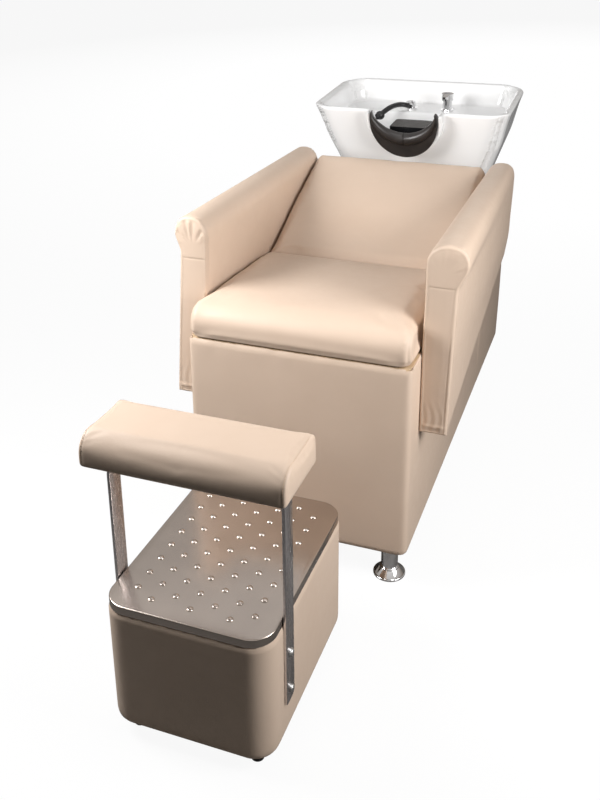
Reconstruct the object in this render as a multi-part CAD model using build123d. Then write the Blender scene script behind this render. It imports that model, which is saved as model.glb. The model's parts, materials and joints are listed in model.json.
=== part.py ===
from build123d import *
from math import atan2, cos, degrees, radians, sin, sqrt, tan
import os

# Hair washing bed in millimetres, Z up. The sitter faces -Y and +X is the sitter's left.
# It is a free-standing foot unit with a calf rest, a reclined upholstered chair on four
# chromed legs, and a ceramic basin that tilts on a bracket behind the backrest.
# Y is counted from the chair's front face, and the finished model is centred at the end.

# Shared stock and fits
BOARD = 18.0              # panels of the carcass
HIDE = 4.0                # leather with its thin foam backing
SOFT_GAP = 0.3            # what soft parts keep from their neighbours
BORE_FIT = 0.2            # what a bore is wider than its fastener, on the radius
BOLT_RADIUS = 4.0
BOLT_HEAD_RADIUS = 8.0
BOLT_HEAD_HEIGHT = 5.0
BOLT_HEAD_TAPER = 25.0    # degrees that a head's side leans in
FASTENER_SIDES = 6        # of shanks and their bores, which repeat
FITTING_SIDES = 24        # of small turned fittings
OVERRUN = 30.0            # how far cutters run past what they cut
QUARTER_TURN = 90.0
HALF_TURN = 180.0

# Chair base
BASE_WIDTH = 508.0
BASE_LENGTH = 1255.0
LEG_HEIGHT = 83.0
DECK_HEIGHT = 538.0
CABINET_STEP = 62.0       # the cabinet's top above the deck
BASE_CORNER_RADIUS = 24.0
CORNER_RETURN = 34.0      # how far the front cover runs round onto the sides

# Seat and backrest
SEAT_WIDTH = 500.0
SEAT_RISE = 82.0          # crown of the seat above the deck
SEAT_REAR_RISE = 54.0     # seat above the deck where it meets the backrest
SEAT_SHADOW_GAP = 2.0     # the cushion's hem above the deck
SEAT_NOSE = 9.0           # how far the cushion bulges past the base
SEAT_BOARD = 15.0
SEAT_BOARD_INSET = 18.0
CREASE_DEPTH = 450.0      # from the chair's front to the seat and backrest crease
RECLINE_DEGREES = 23.4
BACK_LENGTH = 428.0
BACK_THICKNESS = 60.0
BACK_BOARD = 15.0
BACK_CROWN = 9.0
BACK_NOSE_RADIUS = 22.0
CUSHION_SIDE_ROLL = 14.0  # how far seat and backrest draw in along their sides
CALF_END_RADIUS = 14.0
NOSE_HEIGHT_SHARE = 0.45  # of the seat's height, where its nose bulges most
BROW_SHARE = 0.34         # of the seat's height, how far the nose's curve runs back
BROW_DROP_SHARE = 0.06    # of the seat's height, how far the brow lies under the crown
CROWN_PLACE_SHARE = 0.45  # of the seat's depth, where the crown is highest
CALF_SHOULDER_SHARE = 0.25
CALF_SIDE_SHARE = 0.42    # of the calf rest's thickness, how far its long sides round over

# Arms
ARM_THICKNESS = 63.0
ARM_FRONT_SETBACK = 90.0
ARM_LENGTH = 750.0
ARM_HEIGHT = 785.0
ARM_FRONT_LOW = 362.0     # lower edge at the front
ARM_REAR_LOW = 452.0      # lower edge at the rear
ROLL_RADIUS = 42.0
ARM_REAR_RADIUS = 26.0
ARM_FACING = 9.0
ARM_FACING_EDGE = 3.0
ARM_BOARD_INSET = 15.0
ARM_BOARD_SKIN = 6.0
ARM_BOARD_TOP = 700.0
ARM_BOLT_DROP = 38.0      # below the deck
ARM_BOLT_SHARES = (0.15, 0.85)

# Legs
LEG_INSET = 46.5
LEG_REAR_INSET = 75.0
LEG_TUBE_RADIUS = 19.0
LEG_TUBE_WALL = 2.0
LEG_FLANGE_RADIUS = 36.5
LEG_FLANGE_HEIGHT = 20.0
LEG_PLATE_WIDTH = 72.0
LEG_PLATE = 3.0
LEG_PLATE_CORNER = 8.0
LEG_SEAT_SHARE = 0.5      # of the flange's height, where the tube stands
LEG_SCREW_RADIUS = 5.0
LEG_SCREW_HEAD_RADIUS = 9.0
LEG_SCREW_HEAD = 6.0
LEG_SCREW_LENGTH = 15.0

# Foot unit
PLATE_WIDTH = 315.0
PLATE_LENGTH = 413.5
PLATE_HEIGHT = 291.0
PLATE_SHEET = 2.0
PLATE_LIP = 16.0
PLATE_CORNER_RADIUS = 45.0
PLATE_EDGE_CHAMFER = 1.6
FOOT_UNIT_GAP = 146.5     # free floor between the foot unit and the chair
DIMPLE_RADIUS = 6.5
DIMPLE_HEIGHT = 2.4
DIMPLE_COLUMN_PITCH = 37.5
DIMPLE_ROW_PITCH = 42.7
DIMPLE_COLUMNS = 7
DIMPLE_ROWS = 9
DIMPLE_SIDES = 6
DIMPLE_TOP_SHARE = 0.5    # of the dimple's radius, left flat on top
FOOT_BOX_BULGE = 1.5      # leather stands this far outside the plate
FOOT_BOX_BOTTOM_CHAMFER = 8.0
FOOT_BOX_WALL = 15.0
FOOT_HIDE = 5.0
RUBBER_FOOT_RADIUS = 15.0
RUBBER_FOOT_HEIGHT = 27.0
RUBBER_FOOT_TAPER = 3.0
RUBBER_FOOT_INSET = 40.0

# Calf rest and its bracket
STRAP_WIDTH = 35.0
STRAP = 6.0
STRAP_BEND_RADIUS = 50.0
STRAP_LOW_END = 105.0
STRAP_END_CUT = 14.0
CALF_HEIGHT = 550.0       # underside of the calf rest
CALF_LENGTH = 376.0
CALF_DEPTH = 148.0
CALF_THICKNESS = 56.0
CALF_BOARD = 12.0
CALF_BOARD_INSET = 20.0
CALF_SCREW_SPACING = 220.0
CALF_SCREW_GRIP = 9.0
BRACKET_SETBACK = 86.0    # strap's centre behind the plate's front edge
BRACKET_BOLT_HIGH = 207.0
BRACKET_BOLT_LOW = 129.0

# Basin, in its own frame: the rim's top is at zero and its centre on the axis
RIM_WIDTH = 586.0
RIM_DEPTH = 390.0
RIM_WALL = 20.0
RIM_EDGE_CHAMFER = 4.0
RIM_FRONT_CORNER = 34.0
RIM_REAR_CORNER = 66.0
BASIN_HEIGHT = 235.0
BASIN_FLOOR = 20.0
SIDE_FLARE = 0.36         # share of the depth that front and sides draw in
REAR_FLARE = 0.2          # share of the depth that the rear wall draws in
FLOOR_FLARE = 0.14        # share of the depth that the ledge's riser draws in
LEDGE_DEPTH = 66.0
LEDGE_WIDTH = 125.0
RISER_WALL = 12.0
RIM_CENTRE_INSET = 135.0  # forward of the chair's rear
RIM_CENTRE_RISE = 300.0   # above the cabinet
BASIN_TILT_DEGREES = 4.35
COLLAR_INNER_RADIUS = 98.0
COLLAR_WALL = 13.0
COLLAR_REACH = 35.0       # collar's top edge in front of the rim
COLLAR_DROP = 28.0        # from the rim to the centre of the collar's arc
COLLAR_LEAN_DEGREES = 13.6
COLLAR_EDGE_CHAMFER = 3.0

# Neck cushion and its carrier
CUSHION_INNER_RADIUS = 96.0
CUSHION_INNER_RISE = 74.0
CUSHION_DEPTH = 52.0
ROLL_PROUD = 16.0
APRON_SETBACK = 4.0
NECK_ROLL_HEIGHT = 43.0
NECK_ROLL_EDGE = 14.0
CARRIER_WIDTH = 112.0
CARRIER_DEPTH = 98.0
CARRIER_HEIGHT = 34.0
CARRIER_TOP = 56.0        # below the rim
CARRIER_CORNER = 12.0

# Mixer tap, hand shower and waste
TAP_X = 64.0
TAP_Y = 81.0
TAP_RING_RADIUS = 20.0
TAP_RING_HEIGHT = 4.0
TAP_BODY_RADIUS = 14.0
TAP_BODY_HEIGHT = 34.0
TAP_HEAD_RADIUS = 18.5
TAP_HEAD_HEIGHT = 20.0
TAP_LEVER_LENGTH = 46.0
TAP_LEVER_WIDTH = 18.0
TAP_LEVER_THICKNESS = 7.0
TAP_LEVER_SLOT = 9.0
TAP_LEVER_CORNER_SHARE = 0.33     # of the lever's width, at its tip
TAP_SHANK_RADIUS = 10.0
TAP_SHANK_LENGTH = 42.0
TAP_NUT_RADIUS = 17.0
TAP_NUT_HEIGHT = 9.0
DOCK_X = -48.0
DOCK_Y = 81.0
DOCK_RADIUS = 17.0
DOCK_HEIGHT = 6.0
DOCK_BORE = 8.5
DOCK_SHANK_RADIUS = 12.0
DOCK_SHANK_LENGTH = 34.0
SPIGOT_RADIUS = 8.2
SPIGOT_LENGTH = 26.0
ELBOW_RADIUS = 11.0
ELBOW_HEIGHT = 15.0
FERRULE_RADIUS = 9.6
FERRULE_LENGTH = 7.0
HANDLE_RADIUS = 9.0
HANDLE_SIDES = 8
HANDLE_RUNS = 6
HANDLE_SPAN = 118.0
HANDLE_ARCH = 16.0
HANDLE_FALL = 12.0
HANDLE_TURN_DEGREES = 232.0
HEAD_RADIUS = 18.0
HEAD_NECK_RADIUS = 10.0
HEAD_TOP_RADIUS = 12.0
HEAD_HEIGHT = 24.0
HEAD_FACE_HEIGHT = 5.0
DRAIN_Y = -30.0
DRAIN_FLANGE_RADIUS = 31.0
DRAIN_FLANGE = 3.0
DRAIN_BORE = 19.0
DRAIN_TAIL_RADIUS = 22.0
DRAIN_TAIL_LENGTH = 118.0
DRAIN_NUT_RADIUS = 33.0
DRAIN_NUT_HEIGHT = 9.0
STRAINER_RADIUS = 24.0
STRAINER_HEIGHT = 13.0
STRAINER_SHEET = 1.6
STRAINER_KNOB_RADIUS = 5.0
STRAINER_KNOB_HEIGHT = 15.0
STRAINER_SLOTS = 8
STRAINER_SLOT_WIDTH = 2.4
STRAINER_SLOT_LENGTH = 8.0
TRAP_RADIUS = 33.0
TRAP_HEIGHT = 92.0
TRAP_CAP_RADIUS = 36.0
TRAP_CAP_HEIGHT = 18.0
TRAP_OUTLET_RADIUS = 16.0
TRAP_OUTLET_LENGTH = 88.0
TRAP_OUTLET_DROP = 26.0
TRAP_OUTLET_WALL = 2.5
TRAP_SPIGOT_LENGTH = 30.0     # what the waste hose is pushed over
TRAP_SHOULDER_RADIUS = 20.0

# Basin bracket
CRADLE_SHEET = 4.0
CRADLE_WIDTH = 212.0
CRADLE_LENGTH = 150.0
CRADLE_EAR_WIDTH = 52.0
PIVOT_DROP = 32.0         # pivot below the basin's underside
PIVOT_RADIUS = 6.0
PIVOT_HEAD_RADIUS = 10.0
PIVOT_HEAD = 6.0
PIVOT_FIT = 0.08
EAR_GAP = 1.0
STAND_WIDTH = 262.0
STAND_LENGTH = 210.0
STAND_EAR_WIDTH = 60.0
STAND_HOLE_RADIUS = 58.0
KNOB_RADIUS = 17.0
KNOB_HEIGHT = 20.0
KNOB_LOBES = 6
KNOB_LOBE_CORNERS = 4     # of each lobe and the valley beside it
KNOB_LOBE_SHARE = 0.28

# Places that follow from the sizes above
OUTER = BASE_WIDTH / 2
CABINET_HEIGHT = DECK_HEIGHT + CABINET_STEP
ARM_BOLT_HEIGHT = DECK_HEIGHT - ARM_BOLT_DROP
RIM_CENTRE_Y = BASE_LENGTH - RIM_CENTRE_INSET
RIM_CENTRE_Z = CABINET_HEIGHT + RIM_CENTRE_RISE
BOLT_BORE = BOLT_RADIUS + BORE_FIT
CORE = OUTER - HIDE
RECLINE = radians(RECLINE_DEGREES)
ALONG = (cos(RECLINE), sin(RECLINE))
DOWN = (sin(RECLINE), -cos(RECLINE))
CREASE = (CREASE_DEPTH, DECK_HEIGHT + SEAT_REAR_RISE)
BACK_TOP = (CREASE[0] + BACK_LENGTH * ALONG[0], CREASE[1] + BACK_LENGTH * ALONG[1])
PAD_END = (BACK_TOP[0] + BACK_THICKNESS * DOWN[0], BACK_TOP[1] + BACK_THICKNESS * DOWN[1])
BOARD_END = (PAD_END[0] + BACK_BOARD * DOWN[0], PAD_END[1] + BACK_BOARD * DOWN[1])
PAD_HEEL = PAD_END[0] - (PAD_END[1] - DECK_HEIGHT) / tan(RECLINE)
BOARD_HEEL = BOARD_END[0] - (BOARD_END[1] - DECK_HEIGHT) / tan(RECLINE)
ARM_REAR = ARM_FRONT_SETBACK + ARM_LENGTH
PLATE_REAR = -FOOT_UNIT_GAP
PLATE_FRONT = PLATE_REAR - PLATE_LENGTH
PLATE_MIDDLE = (PLATE_FRONT + PLATE_REAR) / 2
STRAP_Y = PLATE_FRONT + BRACKET_SETBACK
STRAP_IN = PLATE_WIDTH / 2 + FOOT_BOX_BULGE
STRAP_OUT = STRAP_IN + STRAP
LEDGE_FRONT = RIM_DEPTH / 2 - RIM_WALL - LEDGE_WIDTH
PIVOT_Z = -BASIN_HEIGHT - PIVOT_DROP
BASIN = Pos(0, RIM_CENTRE_Y, RIM_CENTRE_Z) * Rot(BASIN_TILT_DEGREES, 0, 0)
COLLAR = Pos(0, -RIM_DEPTH / 2 - COLLAR_REACH, 0) * Rot(COLLAR_LEAN_DEGREES, 0, 0) * Pos(0, 0, -COLLAR_DROP)
PIVOT = BASIN * Pos(0, 0, PIVOT_Z)


# Small helpers

def block(x0, x1, y0, y1, z0, z1):
    """A box between two corners."""
    return Pos((x0 + x1) / 2, (y0 + y1) / 2, (z0 + z1) / 2) * Box(x1 - x0, y1 - y0, z1 - z0)


def along_x(outline, x0, x1):
    """A prism along X from an outline drawn in Y and Z."""
    return extrude(Plane.YZ.offset(x0) * outline, amount=x1 - x0)


def along_y(outline, y0, y1):
    """A prism along Y from an outline drawn in X and Z."""
    return extrude(Plane.XZ.offset(-y0) * outline, amount=y0 - y1)


def along_z(outline, z0, z1):
    """A prism along Z from an outline drawn in X and Y."""
    return extrude(Plane.XY.offset(z0) * outline, amount=z1 - z0)


def polygon(*points):
    """A flat face from its corners, less any corner that repeats the one before it."""
    corners = [point for i, point in enumerate(points) if point != points[i - 1]]
    return make_face(Polyline(*corners, close=True))


def rod(radius, x, y, z0, z1):
    """An upright round bar."""
    return Pos(x, y, (z0 + z1) / 2) * Cylinder(radius, abs(z1 - z0))


def prism(sides, radius, z0, z1):
    """An upright bar with flat sides on the origin."""
    return along_z(RegularPolygon(radius, sides), z0, z1)


def turned(radius, x, y, z0, z1):
    """A small upright turned piece, in flats."""
    return Pos(x, y) * prism(FITTING_SIDES, radius, z0, z1)


def turned_x(radius, x0, x1, y, z):
    """A small turned piece along X, in flats."""
    return Pos(0, y, z) * Rot(0, QUARTER_TURN, 0) * prism(FITTING_SIDES, radius, x0, x1)


def bore_x(x0, x1, y, z):
    """A bolt's bore along X."""
    return Pos(0, y, z) * Rot(0, QUARTER_TURN, 0) * prism(FASTENER_SIDES, BOLT_BORE, x0, x1)


def tray(width, front, rear, front_radius, rear_radius):
    """A rectangle in X and Y with its own corner radii at the front and the rear."""
    sketch = Pos(0, (front + rear) / 2) * Rectangle(width, rear - front)
    sketch = fillet(sketch.vertices().group_by(Axis.Y)[0], front_radius)
    return fillet(sketch.vertices().group_by(Axis.Y)[-1], rear_radius)


def both_sides(solid):
    """The solid and its mirror image across the middle plane."""
    return [solid, mirror(solid, about=Plane.YZ)]


def tapered_tray(half_width, front, rear, top, low, rear_flare, front_radius, rear_radius):
    """A hollow's or bowl's form between two depths: flat sides that draw in, and round corners."""
    side = polygon(
        (front + SIDE_FLARE * top, -top), (rear - rear_flare * top, -top),
        (rear - rear_flare * low, -low), (front + SIDE_FLARE * low, -low))
    across = polygon(
        (-half_width + SIDE_FLARE * top, -top), (half_width - SIDE_FLARE * top, -top),
        (half_width - SIDE_FLARE * low, -low), (-half_width + SIDE_FLARE * low, -low))
    body = along_x(side, -half_width, half_width) & along_y(across, front - low, rear + low)
    corners = body.edges().filter_by(Plane.XY, reverse=True)
    body = fillet(corners.group_by(Axis.Y)[0], front_radius)
    corners = body.edges().filter_by(Plane.XY, reverse=True).filter_by(GeomType.LINE)
    return fillet(corners.group_by(Axis.Y)[-1], rear_radius)


def outline(*edges):
    """A face from edges that meet end to end."""
    return make_face(Wire(edges))


# Foot unit

def foot_box_form(inset, z0, z1):
    """The foot box's round-cornered form, drawn in from the leather's face by inset."""
    grow = FOOT_BOX_BULGE - inset
    plan = RectangleRounded(PLATE_WIDTH + 2 * grow, PLATE_LENGTH + 2 * grow, PLATE_CORNER_RADIUS + grow)
    return along_z(Pos(0, PLATE_MIDDLE) * plan, z0, z1)


def foot_carcass():
    """Wooden box under the step plate, open below."""
    top = PLATE_HEIGHT - PLATE_SHEET
    outer = foot_box_form(FOOT_HIDE, RUBBER_FOOT_HEIGHT + FOOT_HIDE, top)
    inner = foot_box_form(FOOT_HIDE + FOOT_BOX_WALL, RUBBER_FOOT_HEIGHT - OVERRUN, top - FOOT_BOX_WALL)
    return outer - inner - bracket_bolt_bores()


def bracket_bolt_bores():
    """Bores of the bracket's bolts through strap, leather and carcass."""
    length = STRAP_OUT + OVERRUN
    return [bore_x(-length, length, STRAP_Y, z) for z in (BRACKET_BOLT_HIGH, BRACKET_BOLT_LOW)]


def foot_base_board():
    """Board that closes the carcass and carries the rubber feet."""
    low = RUBBER_FOOT_HEIGHT + FOOT_HIDE
    return foot_box_form(FOOT_HIDE + FOOT_BOX_WALL, low, low + FOOT_BOX_WALL)


def foot_cover():
    """Leather over the box's sides and underside, with holes for the bracket's bolts."""
    top = PLATE_HEIGHT - PLATE_LIP
    outer = foot_box_form(0, RUBBER_FOOT_HEIGHT, top)
    outer = chamfer(outer.edges().group_by(Axis.Z)[0], FOOT_BOX_BOTTOM_CHAMFER)
    inner = foot_box_form(FOOT_HIDE, RUBBER_FOOT_HEIGHT + FOOT_HIDE, top + OVERRUN)
    return outer - inner - bracket_bolt_bores()


def rubber_foot_places():
    """Centres of the four rubber feet."""
    x = PLATE_WIDTH / 2 - RUBBER_FOOT_INSET
    y = PLATE_LENGTH / 2 - RUBBER_FOOT_INSET
    return [(sx * x, PLATE_MIDDLE + sy * y) for sx in (-1, 1) for sy in (-1, 1)]


def rubber_feet():
    """Four tapered rubber feet under the foot unit."""
    lean = degrees(atan2(RUBBER_FOOT_TAPER, RUBBER_FOOT_HEIGHT))
    plan = RegularPolygon(RUBBER_FOOT_RADIUS, FITTING_SIDES)
    under = Plane.XY.offset(RUBBER_FOOT_HEIGHT) * Rot(HALF_TURN, 0, 0)
    foot = extrude(under * plan, amount=RUBBER_FOOT_HEIGHT, taper=lean)
    return [Pos(x, y, 0) * foot for x, y in rubber_foot_places()]


def dimple_places():
    """Staggered rows of pressed dimples, every second column half a row on."""
    places = []
    for column in range(DIMPLE_COLUMNS):
        x = (column - (DIMPLE_COLUMNS - 1) / 2) * DIMPLE_COLUMN_PITCH
        shift = (column + 1) % 2
        for row in range(DIMPLE_ROWS - shift):
            y = (row + shift / 2 - (DIMPLE_ROWS - 1) / 2) * DIMPLE_ROW_PITCH
            places.append((x, PLATE_MIDDLE + y))
    return places


def step_plate():
    """Pressed steel plate with a turned-down lip and raised dimples against slipping."""
    plan = RectangleRounded(PLATE_WIDTH, PLATE_LENGTH, PLATE_CORNER_RADIUS)
    bore = RectangleRounded(PLATE_WIDTH - 2 * PLATE_SHEET, PLATE_LENGTH - 2 * PLATE_SHEET,
                            PLATE_CORNER_RADIUS - PLATE_SHEET)
    plate = along_z(Pos(0, PLATE_MIDDLE) * plan, PLATE_HEIGHT - PLATE_LIP, PLATE_HEIGHT)
    plate = chamfer(plate.edges().group_by(Axis.Z)[-1], PLATE_EDGE_CHAMFER)
    plate -= along_z(Pos(0, PLATE_MIDDLE) * bore, PLATE_HEIGHT - PLATE_LIP - OVERRUN,
                     PLATE_HEIGHT - PLATE_SHEET)
    return plate + [Pos(x, y, PLATE_HEIGHT) * dimple() for x, y in dimple_places()]


def dimple():
    """One raised dimple with drawn-in sides, rooted in the sheet."""
    draw = DIMPLE_RADIUS * cos(radians(HALF_TURN / DIMPLE_SIDES)) * (1 - DIMPLE_TOP_SHARE)
    plan = RegularPolygon(DIMPLE_RADIUS, DIMPLE_SIDES)
    stud = extrude(plan, amount=DIMPLE_HEIGHT, taper=degrees(atan2(draw, DIMPLE_HEIGHT)))
    return stud + along_z(plan, -PLATE_SHEET / 2, 0)


def bracket():
    """Flat steel bar bent to a U that stands on both sides of the box and carries the calf rest."""
    height = CALF_HEIGHT - STRAP_LOW_END
    middle = STRAP_LOW_END + height / 2
    outer = Pos(0, middle) * Rectangle(2 * STRAP_OUT, height)
    outer = fillet(outer.vertices().group_by(Axis.Y)[-1], STRAP_BEND_RADIUS)
    inner = Pos(0, middle - STRAP) * Rectangle(2 * STRAP_IN, height)
    inner = fillet(inner.vertices().group_by(Axis.Y)[-1], STRAP_BEND_RADIUS - STRAP)
    bar = along_y(outer - inner, STRAP_Y - STRAP_WIDTH / 2, STRAP_Y + STRAP_WIDTH / 2)
    rear = STRAP_Y + STRAP_WIDTH / 2
    corner = polygon((rear, STRAP_LOW_END), (rear, STRAP_LOW_END + STRAP_END_CUT),
                     (rear - STRAP_END_CUT, STRAP_LOW_END))
    bar -= along_x(corner, -STRAP_OUT - OVERRUN, STRAP_OUT + OVERRUN)
    bar -= bracket_bolt_bores()
    return bar - calf_screw_bores()


def bolt(length):
    """Bolt along Z: the shank below zero, the drawn-in head above."""
    plan = RegularPolygon(BOLT_HEAD_RADIUS, 2 * FASTENER_SIDES)
    head = extrude(plan, amount=BOLT_HEAD_HEIGHT, taper=BOLT_HEAD_TAPER)
    return head + prism(FASTENER_SIDES, BOLT_RADIUS, -length, 0)


def bracket_bolts():
    """Two bolts a side through the strap and the leather into the carcass."""
    length = STRAP + FOOT_HIDE + FOOT_BOX_WALL
    bolts = []
    for z in (BRACKET_BOLT_HIGH, BRACKET_BOLT_LOW):
        right = Pos(STRAP_OUT, STRAP_Y, z) * Rot(0, QUARTER_TURN, 0) * bolt(length)
        bolts += both_sides(right)
    return bolts


def calf_section():
    """The calf rest's section in Y and Z: flat below, crowned above, with rounded long sides."""
    y0 = STRAP_Y - CALF_DEPTH / 2
    y1 = STRAP_Y + CALF_DEPTH / 2
    z0 = CALF_HEIGHT
    z1 = CALF_HEIGHT + CALF_THICKNESS
    side = CALF_THICKNESS * CALF_SIDE_SHARE
    shoulder = z1 - side * CALF_SHOULDER_SHARE
    return outline(
        Line((y0 + side / 2, z0), (y1 - side / 2, z0)),
        ThreePointArc((y1 - side / 2, z0), (y1, z0 + side), (y1 - side, shoulder)),
        ThreePointArc((y1 - side, shoulder), (STRAP_Y, z1), (y0 + side, shoulder)),
        ThreePointArc((y0 + side, shoulder), (y0, z0 + side), (y0 + side / 2, z0)))


def calf_cushion():
    """Crowned calf rest whose ends draw in, with a pocket below for its board."""
    half = CALF_LENGTH / 2
    top = CALF_HEIGHT + CALF_THICKNESS
    front = Pos(0, top - CALF_THICKNESS / 2) * Rectangle(CALF_LENGTH, CALF_THICKNESS)
    front = fillet(front.vertices().group_by(Axis.Y)[-1], CALF_END_RADIUS)
    plan = Pos(0, STRAP_Y) * RectangleRounded(CALF_LENGTH, CALF_DEPTH, CALF_END_RADIUS)
    body = along_x(calf_section(), -half, half)
    body &= along_y(front, STRAP_Y - CALF_DEPTH, STRAP_Y + CALF_DEPTH)
    body &= along_z(plan, CALF_HEIGHT, top)
    return body - calf_board() - calf_screw_bores()


def calf_board():
    """Board inside the calf rest that the strap is screwed to."""
    x = CALF_LENGTH / 2 - CALF_BOARD_INSET
    y = CALF_DEPTH / 2 - CALF_BOARD_INSET
    board = block(-x, x, STRAP_Y - y, STRAP_Y + y, CALF_HEIGHT, CALF_HEIGHT + CALF_BOARD)
    return board - calf_screw_bores()


def calf_screw_bores():
    """Bores for the screws through the strap."""
    bore = prism(FASTENER_SIDES, BOLT_BORE, CALF_HEIGHT - OVERRUN, CALF_HEIGHT + CALF_SCREW_GRIP)
    return [Pos(x, STRAP_Y) * bore for x in (-CALF_SCREW_SPACING / 2, CALF_SCREW_SPACING / 2)]


def calf_screws():
    """Screws from under the strap into the calf board."""
    screw = Rot(HALF_TURN, 0, 0) * bolt(STRAP + CALF_SCREW_GRIP)
    return [Pos(x, STRAP_Y, CALF_HEIGHT - STRAP) * screw
            for x in (-CALF_SCREW_SPACING / 2, CALF_SCREW_SPACING / 2)]


# Chair base

def side_outline(top_inset, low_inset):
    """Side of the base in Y and Z: seat deck, ramp under the backrest, cabinet at the rear."""
    return polygon(
        (HIDE + BASE_CORNER_RADIUS, LEG_HEIGHT + low_inset),
        (BASE_LENGTH - HIDE - BOARD, LEG_HEIGHT + low_inset),
        (BASE_LENGTH - HIDE - BOARD, CABINET_HEIGHT - top_inset),
        (BOARD_END[0], CABINET_HEIGHT - top_inset),
        (BOARD_END[0], BOARD_END[1]),
        (BOARD_HEEL, DECK_HEIGHT),
        (BOARD_HEEL, DECK_HEIGHT - top_inset),
        (HIDE + BASE_CORNER_RADIUS, DECK_HEIGHT - top_inset))


def side_panels():
    """The two upright side panels, drilled for the arm bolts."""
    panel = along_x(side_outline(BOARD, BOARD), CORE - BOARD, CORE)
    panel -= arm_bolt_bores()
    return both_sides(panel)


def side_covers():
    """Leather on the outside of the side panels."""
    cover = along_x(side_outline(0, 0), CORE, OUTER)
    cover += block(CORE, OUTER, BASE_LENGTH - HIDE - BOARD, BASE_LENGTH, LEG_HEIGHT, CABINET_HEIGHT)
    cover -= block(CORE - OVERRUN, OUTER + OVERRUN, 0, CORNER_RETURN, 0, DECK_HEIGHT + OVERRUN)
    cover -= arm_bolt_bores()
    return both_sides(cover)


def front_panel():
    """Front board with its outer corners rounded for the leather."""
    plan = Pos(0, HIDE + BASE_CORNER_RADIUS / 2) * Rectangle(2 * CORE, BASE_CORNER_RADIUS)
    plan = fillet(plan.vertices().group_by(Axis.Y)[0], BASE_CORNER_RADIUS - HIDE)
    return along_z(plan, LEG_HEIGHT + BOARD, DECK_HEIGHT - BOARD)


def front_cover():
    """Leather over the front that runs round both corners onto the sides."""
    outer = Pos(0, CORNER_RETURN / 2) * Rectangle(2 * OUTER, CORNER_RETURN)
    outer = fillet(outer.vertices().group_by(Axis.Y)[0], BASE_CORNER_RADIUS)
    inner = Pos(0, HIDE + CORNER_RETURN / 2) * Rectangle(2 * CORE, CORNER_RETURN)
    inner = fillet(inner.vertices().group_by(Axis.Y)[0], BASE_CORNER_RADIUS - HIDE)
    return along_z(outer - inner, LEG_HEIGHT, DECK_HEIGHT)


def rear_panel():
    """Removable board that closes the cabinet at the rear."""
    return block(-CORE, CORE, BASE_LENGTH - HIDE - BOARD, BASE_LENGTH - HIDE, LEG_HEIGHT + BOARD,
                 CABINET_HEIGHT - BOARD)


def rear_cover():
    """Leather on the rear board."""
    return block(-CORE, CORE, BASE_LENGTH - HIDE, BASE_LENGTH, LEG_HEIGHT, CABINET_HEIGHT)


def floor_board():
    """Bottom board under the panels, which the legs are screwed to."""
    plan = Pos(0, BASE_LENGTH / 2) * Rectangle(2 * CORE, BASE_LENGTH - 2 * HIDE)
    plan = fillet(plan.vertices().group_by(Axis.Y)[0], BASE_CORNER_RADIUS - HIDE)
    board = along_z(plan, LEG_HEIGHT, LEG_HEIGHT + BOARD)
    for x, y in leg_places():
        board -= Pos(x, y, 0) * leg_screw_bore()
    return board


def seat_deck():
    """Board that the seat and the backrest stand on."""
    plan = Pos(0, (HIDE + BOARD_HEEL) / 2) * Rectangle(2 * CORE, BOARD_HEEL - HIDE)
    plan = fillet(plan.vertices().group_by(Axis.Y)[0], BASE_CORNER_RADIUS - HIDE)
    return along_z(plan, DECK_HEIGHT - BOARD, DECK_HEIGHT)


def cabinet_top():
    """Board over the rear cabinet that the basin bracket stands on, holed for the waste."""
    board = block(-CORE, CORE, BOARD_END[0], BASE_LENGTH - HIDE, CABINET_HEIGHT - BOARD, CABINET_HEIGHT)
    return board - waste_clearance()


def waste_clearance():
    """Upright hole round the waste's tail through cabinet top and stand."""
    place = (BASIN * Pos(0, DRAIN_Y, -BASIN_HEIGHT - DRAIN_TAIL_LENGTH / 2)).position
    return rod(STAND_HOLE_RADIUS, 0, place.Y, CABINET_HEIGHT - BOARD - OVERRUN, CABINET_HEIGHT + OVERRUN)


def headboard():
    """Cross board that carries the top of the backrest."""
    reach = BOARD * tan(RECLINE)
    return along_x(polygon(
        (BOARD_END[0] - BOARD, CABINET_HEIGHT - BOARD),
        (BOARD_END[0], CABINET_HEIGHT - BOARD),
        (BOARD_END[0], BOARD_END[1]),
        (BOARD_END[0] - BOARD, BOARD_END[1] - reach)), BOARD - CORE, CORE - BOARD)


def headboard_cover():
    """Leather on the rear of the headboard, up to the top of the back cushion."""
    return block(-CORE, CORE, BOARD_END[0], BOARD_END[0] + HIDE, CABINET_HEIGHT, PAD_END[1])


def centre_rail():
    """Cross rail under the backrest's foot."""
    return block(BOARD - CORE, CORE - BOARD, BOARD_HEEL - BOARD, BOARD_HEEL, LEG_HEIGHT + BOARD,
                 DECK_HEIGHT - BOARD)


# Legs

def leg_places():
    """Centres of the four legs, the rear pair further in."""
    front = [(sx * (OUTER - LEG_INSET), LEG_INSET) for sx in (-1, 1)]
    return front + [(sx * (OUTER - LEG_REAR_INSET), BASE_LENGTH - LEG_REAR_INSET) for sx in (-1, 1)]


def leg_screw_bore():
    """Bore of one leg's screw, upwards from the plate's underside."""
    base = LEG_HEIGHT - LEG_PLATE
    return prism(FASTENER_SIDES, LEG_SCREW_RADIUS + BORE_FIT, base - OVERRUN, base + LEG_SCREW_LENGTH)


def leg_plate():
    """Square fixing plate at the top of a leg, with its corners cut."""
    plan = chamfer(Rectangle(LEG_PLATE_WIDTH, LEG_PLATE_WIDTH).vertices(), LEG_PLATE_CORNER)
    plate = along_z(plan, LEG_HEIGHT - LEG_PLATE, LEG_HEIGHT)
    return plate - leg_screw_bore()


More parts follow.
